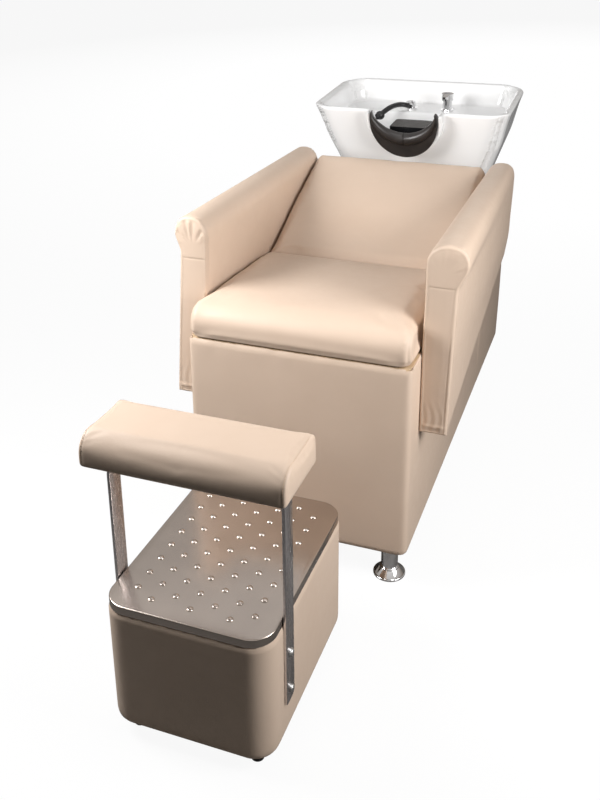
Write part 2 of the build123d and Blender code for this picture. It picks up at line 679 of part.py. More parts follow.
def leg_tube():
    """Chromed tube of a leg."""
    low = LEG_FLANGE_HEIGHT * LEG_SEAT_SHARE
    tube = turned(LEG_TUBE_RADIUS, 0, 0, low, LEG_HEIGHT - LEG_PLATE)
    return tube - turned(LEG_TUBE_RADIUS - LEG_TUBE_WALL, 0, 0, low - OVERRUN, LEG_HEIGHT)


def leg_flange():
    """Bell-shaped foot that the tube stands in."""
    low = LEG_FLANGE_HEIGHT * LEG_SEAT_SHARE
    spread = LEG_FLANGE_RADIUS - LEG_TUBE_RADIUS - LEG_TUBE_WALL
    lean = degrees(atan2(spread, LEG_FLANGE_HEIGHT))
    bell = extrude(RegularPolygon(LEG_FLANGE_RADIUS, FITTING_SIDES), amount=LEG_FLANGE_HEIGHT, taper=lean)
    return bell - turned(LEG_TUBE_RADIUS, 0, 0, low, LEG_FLANGE_HEIGHT + OVERRUN)


def leg_screw():
    """One leg's screw through its plate into the floor board, with its head in the tube."""
    base = LEG_HEIGHT - LEG_PLATE
    head = prism(FASTENER_SIDES, LEG_SCREW_HEAD_RADIUS, base - LEG_SCREW_HEAD, base)
    return head + prism(FASTENER_SIDES, LEG_SCREW_RADIUS, base, base + LEG_SCREW_LENGTH)


# Seat and backrest

def seat_section():
    """The seat cushion in Y and Z: bulged nose, crowned top, upright rear."""
    z0 = DECK_HEIGHT + SEAT_SHADOW_GAP
    crown = DECK_HEIGHT + SEAT_RISE
    rear_top = DECK_HEIGHT + SEAT_REAR_RISE
    rear = CREASE_DEPTH - SOFT_GAP
    height = crown - z0
    nose = (-SEAT_NOSE, z0 + height * NOSE_HEIGHT_SHARE)
    brow = (height * BROW_SHARE, crown - height * BROW_DROP_SHARE)
    return outline(
        Line((0, z0), (rear, z0)),
        Line((rear, z0), (rear, rear_top)),
        ThreePointArc((rear, rear_top), (CREASE_DEPTH * CROWN_PLACE_SHARE, crown - SEAT_NOSE / 2), brow),
        ThreePointArc(brow, nose, (0, z0)))


def soft_sides(body):
    """A cushion whose crown draws in along its two sides, towards the arms."""
    rims = body.edges().group_by(Axis.X)
    return chamfer((rims[0] + rims[-1]).filter_by(GeomType.CIRCLE), CUSHION_SIDE_ROLL)


def seat_cushion():
    """Crowned seat whose sides draw in, with a pocket below for its board."""
    half = SEAT_WIDTH / 2
    return soft_sides(along_x(seat_section(), -half, half)) - seat_board()


def seat_board():
    """Board inside the seat cushion, resting on the deck."""
    half = SEAT_WIDTH / 2 - SEAT_BOARD_INSET
    return block(-half, half, SEAT_BOARD_INSET, CREASE_DEPTH - SEAT_BOARD_INSET, DECK_HEIGHT,
                 DECK_HEIGHT + SEAT_BOARD)


def back_section():
    """The back cushion in Y and Z, lying on its board, with a rounded top edge."""
    nose = BACK_NOSE_RADIUS
    turn = nose * (1 - sqrt(1 / 2))
    shoulder = up_the_back(BACK_LENGTH - nose, 0)
    corner = up_the_back(BACK_LENGTH - turn, turn)
    brow = up_the_back(BACK_LENGTH, nose)
    return outline(
        Line((CREASE[0], DECK_HEIGHT), CREASE),
        ThreePointArc(CREASE, up_the_back(BACK_LENGTH / 2, -BACK_CROWN), shoulder),
        ThreePointArc(shoulder, corner, brow),
        Line(brow, PAD_END),
        Line(PAD_END, (PAD_HEEL, DECK_HEIGHT)),
        Line((PAD_HEEL, DECK_HEIGHT), (CREASE[0], DECK_HEIGHT)))


def up_the_back(length, depth):
    """A place in Y and Z: so far up from the crease, so deep under the backrest's face."""
    return (CREASE[0] + length * ALONG[0] + depth * DOWN[0], CREASE[1] + length * ALONG[1] + depth * DOWN[1])


def back_cushion():
    """Crowned back cushion that draws in towards the arms."""
    half = SEAT_WIDTH / 2
    return soft_sides(along_x(back_section(), -half, half))


def back_board():
    """Board under the back cushion, from the deck to the headboard."""
    side = polygon((PAD_HEEL, DECK_HEIGHT), PAD_END, BOARD_END, (BOARD_HEEL, DECK_HEIGHT))
    return along_x(side, -CORE, CORE)


# Arms

def arm_outline():
    """An arm's section in X and Z: an upright pad under a roll that overhangs outwards."""
    top = ARM_HEIGHT - ROLL_RADIUS
    pad = Rectangle(ARM_THICKNESS, top - ARM_FRONT_LOW)
    pad = Pos(OUTER + ARM_THICKNESS / 2, (ARM_FRONT_LOW + top) / 2) * pad
    return pad + Pos(OUTER + ROLL_RADIUS, top) * Circle(ROLL_RADIUS)


def under_arm(front, rear):
    """All that lies below an arm's sloping lower edge."""
    slope = (ARM_REAR_LOW - ARM_FRONT_LOW) / ARM_LENGTH
    reach = OVERRUN + ARM_FRONT_SETBACK
    return along_x(polygon(
        (front - reach, ARM_FRONT_LOW - slope * reach),
        (rear + reach, ARM_REAR_LOW + slope * reach),
        (rear + reach, ARM_FRONT_LOW - reach),
        (front - reach, ARM_FRONT_LOW - reach)), OUTER - OVERRUN, OUTER + ARM_THICKNESS + OVERRUN)


def arm_board():
    """Board inside an arm, bolted through the base's side panel."""
    y0 = ARM_FRONT_SETBACK + ARM_BOARD_INSET
    y1 = ARM_REAR - ARM_BOARD_INSET
    x0 = OUTER + ARM_BOARD_SKIN
    board = block(x0, x0 + BOARD, y0, y1, ARM_FRONT_LOW, ARM_BOARD_TOP)
    return board - under_arm(ARM_FRONT_SETBACK, ARM_REAR) - arm_bolt_bores()


def arm_pad():
    """Upholstered arm with its roll, slotted below for the board."""
    body = along_y(arm_outline(), ARM_FRONT_SETBACK, ARM_REAR)
    middle = (ARM_FRONT_SETBACK + ARM_REAR) / 2
    plan = Pos(OUTER + ROLL_RADIUS, middle) * Rectangle(2 * ROLL_RADIUS, ARM_LENGTH)
    plan = fillet(plan.vertices().group_by(Axis.Y)[-1].sort_by(Axis.X)[-1], ARM_REAR_RADIUS)
    side = Pos(middle, ARM_HEIGHT / 2) * Rectangle(ARM_LENGTH, ARM_HEIGHT)
    side = fillet(side.vertices().group_by(Axis.X)[-1].sort_by(Axis.Y)[-1], ARM_REAR_RADIUS)
    body &= along_z(plan, 0, ARM_HEIGHT)
    body &= along_x(side, OUTER, OUTER + 2 * ROLL_RADIUS)
    body -= under_arm(ARM_FRONT_SETBACK, ARM_REAR)
    return body - arm_board() - arm_bolt_bores()


def arm_facing():
    """Padded facing on the front end of an arm, with a softened edge."""
    facing = along_y(arm_outline(), ARM_FRONT_SETBACK - ARM_FACING, ARM_FRONT_SETBACK)
    facing -= under_arm(ARM_FRONT_SETBACK, ARM_REAR)
    return chamfer(facing.edges().group_by(Axis.Y)[0], ARM_FACING_EDGE)


def arm_bolt_places():
    """Y of the bolts through an arm's board."""
    return [ARM_FRONT_SETBACK + share * ARM_LENGTH for share in ARM_BOLT_SHARES]


def arm_bolt_bores():
    """Bores for the arm bolts from inside the base to the arm's board."""
    return [bore_x(CORE - BOARD - OVERRUN, OUTER + ARM_BOARD_SKIN + BOARD, y, ARM_BOLT_HEIGHT)
            for y in arm_bolt_places()]


def arm_bolts():
    """Bolts from inside the base into the arm boards, on both sides."""
    length = BOARD + HIDE + ARM_BOARD_SKIN + BOARD
    bolts = []
    for y in arm_bolt_places():
        bolts += both_sides(Pos(CORE - BOARD, y, ARM_BOLT_HEIGHT) * Rot(0, -QUARTER_TURN, 0) * bolt(length))
    return bolts


# Basin

def basin_outside():
    """The basin's outer body before it is hollowed."""
    return tapered_tray(RIM_WIDTH / 2, -RIM_DEPTH / 2, RIM_DEPTH / 2, 0, BASIN_HEIGHT, REAR_FLARE,
                        RIM_FRONT_CORNER, RIM_REAR_CORNER)


def wash_space(inset, low, rear, rear_flare):
    """A hollow drawn in from the rim by inset, from the rim down to a depth."""
    corner = RIM_REAR_CORNER - RIM_WALL
    front = -RIM_DEPTH / 2 + inset
    return tapered_tray(RIM_WIDTH / 2 - inset, front, rear, 0, low, rear_flare, corner, corner)


def under_ledge_space():
    """The hollow under the ledge, open below, where the tap's shank comes through."""
    inner = tapered_tray(RIM_WIDTH / 2 - 2 * RIM_WALL, -RIM_DEPTH / 2, RIM_DEPTH / 2 - RIM_WALL,
                         LEDGE_DEPTH + BASIN_FLOOR, BASIN_HEIGHT + OVERRUN, REAR_FLARE, RIM_WALL, RIM_WALL)
    return inner & block(-RIM_WIDTH, RIM_WIDTH, LEDGE_FRONT + RISER_WALL, RIM_DEPTH, -2 * BASIN_HEIGHT, 0)


def notch_outline(radius):
    """A U in X and Z about the collar's centre, open upwards."""
    shape = Circle(radius) + Pos(0, OVERRUN) * Rectangle(2 * radius, 2 * OVERRUN)
    return shape


def basin_bowl():
    """Glazed ceramic basin with its neck collar, ledge, drain and tap holes."""
    floor = BASIN_HEIGHT - BASIN_FLOOR
    collar_radius = COLLAR_INNER_RADIUS + COLLAR_WALL
    reach = COLLAR_REACH + RIM_WALL + SIDE_FLARE * LEDGE_DEPTH
    collar = along_y(notch_outline(collar_radius), 0, reach)
    collar = chamfer(collar.edges().group_by(Axis.Y)[0], COLLAR_EDGE_CHAMFER)
    body = basin_outside()
    body -= wash_space(RIM_WALL, LEDGE_DEPTH, RIM_DEPTH / 2 - RIM_WALL, REAR_FLARE)
    body = chamfer(body.faces().sort_by(Axis.Z)[-1].edges(), RIM_EDGE_CHAMFER)
    body += COLLAR * collar
    body -= block(-collar_radius - OVERRUN, collar_radius + OVERRUN, -RIM_DEPTH, RIM_DEPTH, 0, RIM_DEPTH)
    body -= wash_space(RIM_WALL, LEDGE_DEPTH, RIM_DEPTH / 2 - RIM_WALL, REAR_FLARE)
    body -= wash_space(RIM_WALL, floor, LEDGE_FRONT, FLOOR_FLARE)
    body -= COLLAR * along_y(notch_outline(COLLAR_INNER_RADIUS), -OVERRUN, reach + COLLAR_REACH + RIM_WALL)
    body -= under_ledge_space()
    body -= rod(DRAIN_TAIL_RADIUS + BORE_FIT, 0, DRAIN_Y, -floor - OVERRUN, -floor + OVERRUN)
    body -= rod(TAP_SHANK_RADIUS + BORE_FIT, TAP_X, TAP_Y, -LEDGE_DEPTH - OVERRUN, -LEDGE_DEPTH + OVERRUN)
    body -= rod(DOCK_SHANK_RADIUS + BORE_FIT, DOCK_X, DOCK_Y, -LEDGE_DEPTH - OVERRUN, -LEDGE_DEPTH + OVERRUN)
    return body


# Neck cushion

def cushion_trim():
    """The space inside the notch and below the rim that the cushion must fit."""
    outer = COLLAR_INNER_RADIUS - SOFT_GAP
    shape = Circle(outer) + Pos(0, COLLAR_DROP / 2) * Rectangle(2 * outer, COLLAR_DROP)
    shape &= Pos(0, COLLAR_DROP - 2 * outer) * Rectangle(4 * outer, 4 * outer)
    return along_y(shape, -ROLL_PROUD, CUSHION_DEPTH)


def neck_cushion():
    """Moulded rubber neck rest: a proud roll over a smooth apron that fills the notch."""
    neck = Axis((0, 0, CUSHION_INNER_RISE), (0, 1, 0))
    low = CUSHION_INNER_RISE - CUSHION_INNER_RADIUS
    depth = CUSHION_DEPTH + ROLL_PROUD
    section = Pos(CUSHION_DEPTH - depth / 2, low - NECK_ROLL_HEIGHT / 2) * Rectangle(depth, NECK_ROLL_HEIGHT)
    section = chamfer(section.vertices().group_by(Axis.X)[0], NECK_ROLL_EDGE)
    roll = revolve(Plane.YZ * section, neck)
    apron = Circle(COLLAR_INNER_RADIUS)
    apron -= Pos(0, CUSHION_INNER_RISE) * Circle(CUSHION_INNER_RADIUS + NECK_ROLL_HEIGHT / 2)
    return (roll + along_y(apron, APRON_SETBACK, CUSHION_DEPTH)) & cushion_trim()


def neck_carrier():
    """Black moulded carrier behind the neck cushion, inside the basin."""
    front = -RIM_DEPTH / 2 - COLLAR_REACH + CUSHION_DEPTH
    plan = tray(CARRIER_WIDTH, front - OVERRUN, front + CARRIER_DEPTH, CARRIER_CORNER, CARRIER_CORNER)
    body = along_z(plan, -CARRIER_TOP - CARRIER_HEIGHT, -CARRIER_TOP)
    behind = COLLAR * block(-CARRIER_WIDTH, CARRIER_WIDTH, CUSHION_DEPTH - RIM_DEPTH, CUSHION_DEPTH,
                            -RIM_DEPTH, RIM_DEPTH)
    return body - behind


# Tap

def tap_body():
    """Mixer body with its base ring, and the shank through the ledge."""
    base = -LEDGE_DEPTH
    body = turned(TAP_RING_RADIUS, TAP_X, TAP_Y, base, base + TAP_RING_HEIGHT)
    body += turned(TAP_BODY_RADIUS, TAP_X, TAP_Y, base, base + TAP_BODY_HEIGHT)
    return body + turned(TAP_SHANK_RADIUS, TAP_X, TAP_Y, base - TAP_SHANK_LENGTH, base)


def tap_nut():
    """Nut that clamps the tap from under the ledge."""
    top = -LEDGE_DEPTH - BASIN_FLOOR
    nut = prism(FASTENER_SIDES, TAP_NUT_RADIUS, top - TAP_NUT_HEIGHT, top)
    return Pos(TAP_X, TAP_Y) * (nut - turned(TAP_SHANK_RADIUS + BORE_FIT, 0, 0, top - OVERRUN, top + OVERRUN))


def tap_head():
    """Head that turns on the body to mix hot and cold, slotted for the lever."""
    base = -LEDGE_DEPTH + TAP_BODY_HEIGHT
    head = turned(TAP_HEAD_RADIUS, 0, 0, 0, TAP_HEAD_HEIGHT)
    slot = TAP_LEVER_WIDTH / 2 + SOFT_GAP
    floor = TAP_HEAD_HEIGHT - TAP_LEVER_SLOT
    head -= block(-slot, slot, -TAP_HEAD_RADIUS - OVERRUN, slot, floor, TAP_HEAD_HEIGHT + OVERRUN)
    return Pos(TAP_X, TAP_Y, base + SOFT_GAP) * head


def tap_lever():
    """Flat lever that lifts to open the water about its round heel."""
    base = -LEDGE_DEPTH + TAP_BODY_HEIGHT + SOFT_GAP
    z = TAP_HEAD_HEIGHT - TAP_LEVER_SLOT / 2
    heel = TAP_LEVER_THICKNESS / 2
    paddle = block(-TAP_LEVER_WIDTH / 2, TAP_LEVER_WIDTH / 2, -TAP_LEVER_LENGTH, 0, z - heel, z + heel)
    tip = paddle.edges().filter_by(Axis.Z).group_by(Axis.Y)[0]
    paddle = chamfer(tip, TAP_LEVER_WIDTH * TAP_LEVER_CORNER_SHARE)
    paddle += turned_x(heel, -TAP_LEVER_WIDTH / 2, TAP_LEVER_WIDTH / 2, 0, z)
    return Pos(TAP_X, TAP_Y, base) * paddle


# Hand shower

def shower_dock():
    """Chromed collar in the ledge that the hand shower stands in."""
    base = -LEDGE_DEPTH
    dock = turned(DOCK_RADIUS, DOCK_X, DOCK_Y, base, base + DOCK_HEIGHT)
    dock += turned(DOCK_SHANK_RADIUS, DOCK_X, DOCK_Y, base - DOCK_SHANK_LENGTH, base)
    return dock - turned(DOCK_BORE, DOCK_X, DOCK_Y, base - DOCK_SHANK_LENGTH - OVERRUN, base + OVERRUN)


def dock_nut():
    """Ring nut under the ledge on the dock's shank."""
    top = -LEDGE_DEPTH - BASIN_FLOOR
    plan = RegularPolygon(TAP_NUT_RADIUS, FASTENER_SIDES)
    plan -= RegularPolygon(DOCK_SHANK_RADIUS + BORE_FIT, FITTING_SIDES)
    return along_z(Pos(DOCK_X, DOCK_Y) * plan, top - TAP_NUT_HEIGHT, top)


def handle_place():
    """Where the handle starts, turned towards the head."""
    z = -LEDGE_DEPTH + DOCK_HEIGHT + SOFT_GAP + ELBOW_HEIGHT / 2 + TAP_RING_HEIGHT
    return Pos(DOCK_X, DOCK_Y, z) * Rot(0, 0, HANDLE_TURN_DEGREES)


def shower_elbow():
    """Chromed elbow: a spigot in the dock, a round body and a ferrule towards the handle."""
    base = -LEDGE_DEPTH + DOCK_HEIGHT + SOFT_GAP
    body = turned(ELBOW_RADIUS, DOCK_X, DOCK_Y, base, base + ELBOW_HEIGHT + TAP_RING_HEIGHT)
    spigot = turned(SPIGOT_RADIUS, DOCK_X, DOCK_Y, base - SPIGOT_LENGTH, base)
    ferrule = handle_place() * turned_x(FERRULE_RADIUS, 0, ELBOW_RADIUS + FERRULE_LENGTH, 0, 0)
    return body + spigot + ferrule


def handle_bow():
    """The handle's bowed middle line in short straight runs, in the plane of the elbow and the head."""
    start = ELBOW_RADIUS + FERRULE_LENGTH
    bow = ThreePointArc((start, 0, 0), (start + HANDLE_SPAN / 2, 0, HANDLE_ARCH - HANDLE_FALL / 2),
                        (start + HANDLE_SPAN, 0, -HANDLE_FALL))
    return Polyline(*[bow @ (i / HANDLE_RUNS) for i in range(HANDLE_RUNS + 1)])


def shower_handle():
    """Bowed black handle between the ferrule and the spray head."""
    bow = handle_bow()
    section = Plane(bow @ 0, z_dir=bow % 0) * RegularPolygon(HANDLE_RADIUS, HANDLE_SIDES)
    behind = block(-OVERRUN, ELBOW_RADIUS + FERRULE_LENGTH, -OVERRUN, OVERRUN, -OVERRUN, OVERRUN)
    return handle_place() * (sweep(section, bow, transition=Transition.RIGHT) - behind)


def shower_head():
    """Bell-shaped spray head that faces down, with the neck that meets the handle's end."""
    bow = handle_bow()
    end = Plane(bow @ 1, z_dir=bow % 1)
    reach = HEAD_RADIUS
    neck = end * prism(FITTING_SIDES, HEAD_NECK_RADIUS, 0, reach)
    face = prism(FITTING_SIDES, HEAD_RADIUS, 0, HEAD_FACE_HEIGHT)
    bell_height = HEAD_HEIGHT - HEAD_FACE_HEIGHT
    lean = degrees(atan2(HEAD_RADIUS - HEAD_TOP_RADIUS, bell_height))
    plan = RegularPolygon(HEAD_RADIUS, FITTING_SIDES)
    bell = extrude(Plane.XY.offset(HEAD_FACE_HEIGHT) * plan, amount=bell_height, taper=lean)
    centre = bow @ 1
    head = Pos(centre.X + reach, 0, centre.Z - HEAD_HEIGHT / 2 - HEAD_FACE_HEIGHT) * (face + bell)
    behind = end * block(-HEAD_HEIGHT, HEAD_HEIGHT, -HEAD_HEIGHT, HEAD_HEIGHT, -HEAD_HEIGHT, 0)
    return handle_place() * (head + neck - behind)


# Waste

def drain_flange():
    """Chromed drain seat in the basin's floor with its threaded tail."""
    floor = -(BASIN_HEIGHT - BASIN_FLOOR)
    body = prism(FITTING_SIDES, DRAIN_FLANGE_RADIUS, floor, floor + DRAIN_FLANGE)
    body += prism(FITTING_SIDES, DRAIN_TAIL_RADIUS, floor - DRAIN_TAIL_LENGTH, floor)
    body -= prism(FITTING_SIDES, DRAIN_BORE, floor - DRAIN_TAIL_LENGTH - OVERRUN, floor + OVERRUN)
    seat = floor + DRAIN_FLANGE - STRAINER_SHEET
    seat = prism(FITTING_SIDES, STRAINER_RADIUS + 2 * SOFT_GAP, seat, floor + OVERRUN)
    return Pos(0, DRAIN_Y) * (body - seat)


def drain_nut():
    """Large nut that clamps drain, basin and cradle together."""
    top = -BASIN_HEIGHT - CRADLE_SHEET
    nut = prism(FASTENER_SIDES, DRAIN_NUT_RADIUS, top - DRAIN_NUT_HEIGHT, top)
    return Pos(0, DRAIN_Y) * (nut - turned(DRAIN_TAIL_RADIUS + BORE_FIT, 0, 0, top - OVERRUN, top + OVERRUN))


def strainer():
    """Hair strainer: a slotted cup with a rim and a small knob, which lifts out of the drain."""
    seat = -(BASIN_HEIGHT - BASIN_FLOOR) + DRAIN_FLANGE
    cup_radius = DRAIN_BORE - 2 * SOFT_GAP
    inside = cup_radius - STRAINER_SHEET
    body = prism(FITTING_SIDES, STRAINER_RADIUS, 0, STRAINER_SHEET)
    body += prism(FITTING_SIDES, cup_radius, -STRAINER_HEIGHT, STRAINER_SHEET)
    body -= prism(FITTING_SIDES, inside, STRAINER_SHEET - STRAINER_HEIGHT, STRAINER_SHEET + OVERRUN)
    body += rod(STRAINER_KNOB_RADIUS, 0, 0, -STRAINER_HEIGHT, STRAINER_KNOB_HEIGHT - STRAINER_HEIGHT)
    width = STRAINER_SLOT_WIDTH / 2
    slot = block(inside - STRAINER_SLOT_LENGTH, inside - width, -width, width, -STRAINER_HEIGHT - OVERRUN, 0)
    body -= [Rot(0, 0, 2 * HALF_TURN * i / STRAINER_SLOTS) * slot for i in range(STRAINER_SLOTS)]
    return Pos(0, DRAIN_Y, seat - STRAINER_SHEET + SOFT_GAP) * body


def waste_trap():
    """Bottle trap under the drain, with a sideways spigot for the waste hose."""
    top = -(BASIN_HEIGHT - BASIN_FLOOR) - DRAIN_TAIL_LENGTH
    cap = prism(FITTING_SIDES, TRAP_CAP_RADIUS, top - TRAP_CAP_HEIGHT / 2, top + TRAP_CAP_HEIGHT / 2)
    body = cap + prism(FITTING_SIDES, TRAP_RADIUS, top - TRAP_HEIGHT, top)
    outlet = Pos(0, 0, top - TRAP_OUTLET_DROP) * Rot(0, QUARTER_TURN, 0)
    root = TRAP_OUTLET_LENGTH - TRAP_SPIGOT_LENGTH
    body += outlet * prism(FITTING_SIDES, TRAP_SHOULDER_RADIUS, 0, root)
    body += outlet * rod(TRAP_OUTLET_RADIUS, 0, 0, 0, TRAP_OUTLET_LENGTH)
    bore = TRAP_OUTLET_RADIUS - TRAP_OUTLET_WALL
    body -= outlet * rod(bore, 0, 0, TRAP_CAP_RADIUS, TRAP_OUTLET_LENGTH + OVERRUN)
    body -= prism(FITTING_SIDES, DRAIN_TAIL_RADIUS + 2 * BORE_FIT, top, top + OVERRUN)
    return Pos(0, DRAIN_Y) * body


# Basin bracket

def ear(y, z, root, width):
    """Side view of a folded ear from its root to past its pivot hole, with a six-sided end."""
    outline = Pos(y, z) * RegularPolygon(width / 2, FASTENER_SIDES)
    outline += Pos(y, (z + root) / 2) * Rectangle(width, abs(z - root))
    return outline - Pos(y, z) * RegularPolygon(PIVOT_RADIUS, FITTING_SIDES)


def cradle():
    """Steel plate under the basin with two folded ears for the pivot."""
    top = -BASIN_HEIGHT
    plate = along_z(Rectangle(CRADLE_WIDTH, CRADLE_LENGTH), top - CRADLE_SHEET, top)
    plate -= turned(DRAIN_TAIL_RADIUS + BORE_FIT, 0, DRAIN_Y, top - OVERRUN, top + OVERRUN)
    x = CRADLE_WIDTH / 2
    return plate + both_sides(along_x(ear(0, PIVOT_Z, top, CRADLE_EAR_WIDTH), x - CRADLE_SHEET, x))


def stand():
    """Steel foot on the cabinet with two ears outside the cradle's."""
    base = CABINET_HEIGHT
    y = PIVOT.position.Y
    z = PIVOT.position.Z
    plan = Pos(0, y - CRADLE_EAR_WIDTH / 2) * Rectangle(STAND_WIDTH, STAND_LENGTH)
    plate = along_z(plan, base, base + CRADLE_SHEET) - waste_clearance()
    x = CRADLE_WIDTH / 2 + EAR_GAP
    ears = along_x(ear(y, z, base, STAND_EAR_WIDTH), x, x + CRADLE_SHEET)
    return plate + both_sides(ears)


def pivot_pins():
    """Two headed pins that the cradle turns on, riding in the stand's ears."""
    x_out = CRADLE_WIDTH / 2 + EAR_GAP + CRADLE_SHEET
    x_in = CRADLE_WIDTH / 2 - CRADLE_SHEET - EAR_GAP
    y = PIVOT.position.Y
    z = PIVOT.position.Z
    pin = turned_x(PIVOT_RADIUS - PIVOT_FIT, x_in, x_out, y, z)
    head = prism(FASTENER_SIDES, PIVOT_HEAD_RADIUS, x_out, x_out + PIVOT_HEAD)
    pin += Pos(0, y, z) * Rot(0, QUARTER_TURN, 0) * head
    return both_sides(pin)


def tilt_knob():
    """Lobed clamping knob on the pivot, on the sitter's left."""
    x = CRADLE_WIDTH / 2 + EAR_GAP + CRADLE_SHEET + PIVOT_HEAD
    valley = KNOB_RADIUS * (1 - KNOB_LOBE_SHARE)
    corners = []
    for i in range(KNOB_LOBE_CORNERS * KNOB_LOBES):
        turn = radians(2 * HALF_TURN * (i + 1 / 2) / KNOB_LOBE_CORNERS / KNOB_LOBES)
        reach = KNOB_RADIUS if i % KNOB_LOBE_CORNERS < KNOB_LOBE_CORNERS / 2 else valley
        corners.append((PIVOT.position.Y + reach * cos(turn), PIVOT.position.Z + reach * sin(turn)))
    return along_x(polygon(*corners), x, x + KNOB_HEIGHT)


def basin_parts():
    """Every piece that tilts with the basin, moved into place."""
    parts = {
        "basin_bowl": basin_bowl(),
        "neck_cushion": COLLAR * neck_cushion(),
        "neck_carrier": neck_carrier(),
        "tap_body": tap_body(),
        "clamp_nuts": [tap_nut(), dock_nut(), drain_nut()],
        "tap_head": tap_head(),
        "tap_lever": tap_lever(),
        "shower_dock": shower_dock(),
        "shower_elbow": shower_elbow(),
        "shower_handle": shower_handle(),
        "shower_head": shower_head(),
        "drain_flange": drain_flange(),
        "strainer": strainer(),
        "waste_trap": waste_trap(),
        "basin_cradle": cradle(),
    }
    return {name: BASIN * as_shape(part) for name, part in parts.items()}


def all_parts():
    """Every node of the model by name."""
    parts = {
        "foot_carcass": foot_carcass(),
        "foot_base_board": foot_base_board(),
        "foot_cover": foot_cover(),
        "rubber_feet": rubber_feet(),
        "step_plate": step_plate(),
        "calf_bracket": bracket(),
        "bracket_bolts": bracket_bolts(),
        "calf_board": calf_board(),
        "calf_cushion": calf_cushion(),
        "calf_screws": calf_screws(),
        "base_front_panel": front_panel(),
        "base_rear_panel": rear_panel(),
        "base_floor_board": floor_board(),
        "base_centre_rail": centre_rail(),
        "seat_deck": seat_deck(),
        "cabinet_top": cabinet_top(),
        "headboard": headboard(),
        "front_cover": front_cover(),
        "rear_cover": rear_cover(),
        "headboard_cover": headboard_cover(),
        "seat_board": seat_board(),
        "seat_cushion": seat_cushion(),
        "back_board": back_board(),
        "back_cushion": back_cushion(),
        "arm_bolts": arm_bolts(),
        "basin_stand": stand(),
        "pivot_pins": pivot_pins(),
        "tilt_knob": tilt_knob(),
    }
    pairs = {
        "base_side_panel": side_panels(),
        "side_cover": side_covers(),
        "arm_board": both_sides(arm_board()),
        "arm_pad": both_sides(arm_pad()),
        "arm_facing": both_sides(arm_facing()),
    }
    for name, (left, right) in pairs.items():
        parts["left_" + name] = left
        parts["right_" + name] = right
    places = leg_places()
    parts["leg_tubes"] = [Pos(x, y, 0) * leg_tube() for x, y in places]
    parts["leg_flanges"] = [Pos(x, y, 0) * leg_flange() for x, y in places]
    parts["leg_plates"] = [Pos(x, y, 0) * leg_plate() for x, y in places]
    parts["leg_screws"] = [Pos(x, y, 0) * leg_screw() for x, y in places]
    parts.update(basin_parts())
    return parts


def as_shape(part):
    """One shape from a solid, a sketch result or a list of solids."""
    if isinstance(part, list):
        solids = [solid for item in part for solid in item.solids()]
        return Compound(children=solids)
    solids = part.solids()
    if len(solids) == 1:
        return solids[0]
    return Compound(children=solids)


def main():
    """Builds every node, centres the whole on the floor and writes one file a node."""
    shapes = {name: as_shape(part) for name, part in all_parts().items()}
    boxes = [shape.bounding_box() for shape in shapes.values()]
    middle = (min(box.min.Y for box in boxes) + max(box.max.Y for box in boxes)) / 2
    print("middle of the model behind the chair's front", round(middle, 3))
    centre = Pos(0, -middle, 0)
    pivot = (centre * PIVOT).position
    print("basin pivot", round(pivot.Y, 3), round(pivot.Z, 3))
    os.makedirs("parts", exist_ok=True)
    for name, shape in shapes.items():
        export_step(centre * shape, f"parts/{name}.step")
    print(len(shapes), "nodes")


main()
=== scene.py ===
import json
from math import cos, pi, radians, sin

import bpy
import numpy as np
from mathutils import Matrix


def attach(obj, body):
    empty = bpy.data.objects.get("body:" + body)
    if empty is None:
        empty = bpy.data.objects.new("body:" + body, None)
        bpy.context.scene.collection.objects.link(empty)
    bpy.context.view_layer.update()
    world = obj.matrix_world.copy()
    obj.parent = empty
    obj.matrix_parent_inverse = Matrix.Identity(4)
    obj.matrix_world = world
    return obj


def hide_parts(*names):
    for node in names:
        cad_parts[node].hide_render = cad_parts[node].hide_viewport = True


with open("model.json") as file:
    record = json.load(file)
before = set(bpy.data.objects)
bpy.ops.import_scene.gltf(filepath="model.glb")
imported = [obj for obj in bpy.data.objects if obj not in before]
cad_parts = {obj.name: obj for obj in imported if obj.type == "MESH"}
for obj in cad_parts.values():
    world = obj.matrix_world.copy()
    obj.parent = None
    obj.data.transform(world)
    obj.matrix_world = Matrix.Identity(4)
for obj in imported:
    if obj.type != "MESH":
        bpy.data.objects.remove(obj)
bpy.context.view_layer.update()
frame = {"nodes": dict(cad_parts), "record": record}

NODES = frame["nodes"]
scene = bpy.context.scene

# The camera, solved from the photograph
CAMERA_PLACE = (0.63290, -2.06200, 1.39820)
CAMERA_YAW = 0.357815
CAMERA_PITCH = 0.343958
CAMERA_ROLL = 0.009571
CAMERA_LENS = 42.1625
CAMERA_SHIFT = (0.00634, -0.17767)

# Places in metres. Y is counted from the chair's front, which lies MIDDLE before the origin.
MIDDLE = 0.376227
BASE_HALF = 0.254
BASE_LENGTH = 1.255
BASE_LOW = 0.083
DECK = 0.538
CABINET = 0.600
WEDGE = ((0.504, DECK), (0.8727, 0.6931))    # (Y, Z) at the foot and the top of the backrest's slope
CORNER = 0.016
HIDE = 0.0035    # thickness of the base's leather
ARM_INNER = 0.254
ARM_OUTER = 0.317
ARM_FRONT = 0.081
ARM_REAR = 0.840
ARM_LOW = (0.353, 0.512)    # height of the lower edge, front and rear
ROLL_HEIGHT = 0.743    # middle of the arm's roll
ARM_SEAM = 0.693
FACING_DEPTH = 0.009
PLATE_HALF = 0.1575
PLATE_FRONT = -0.560
PLATE_REAR = -0.1465
PLATE_TOP = 0.291
PLATE_LIP = 0.016
PLATE_CORNER = 0.045
FOOT_BULGE = 0.0015
FOOT_LOW = 0.027
DIMPLE_PITCH = (0.0375, 0.0427)
DIMPLE_RADIUS = 0.0062
STRAP_INNER = 0.159
STRAP_OUTER = 0.165
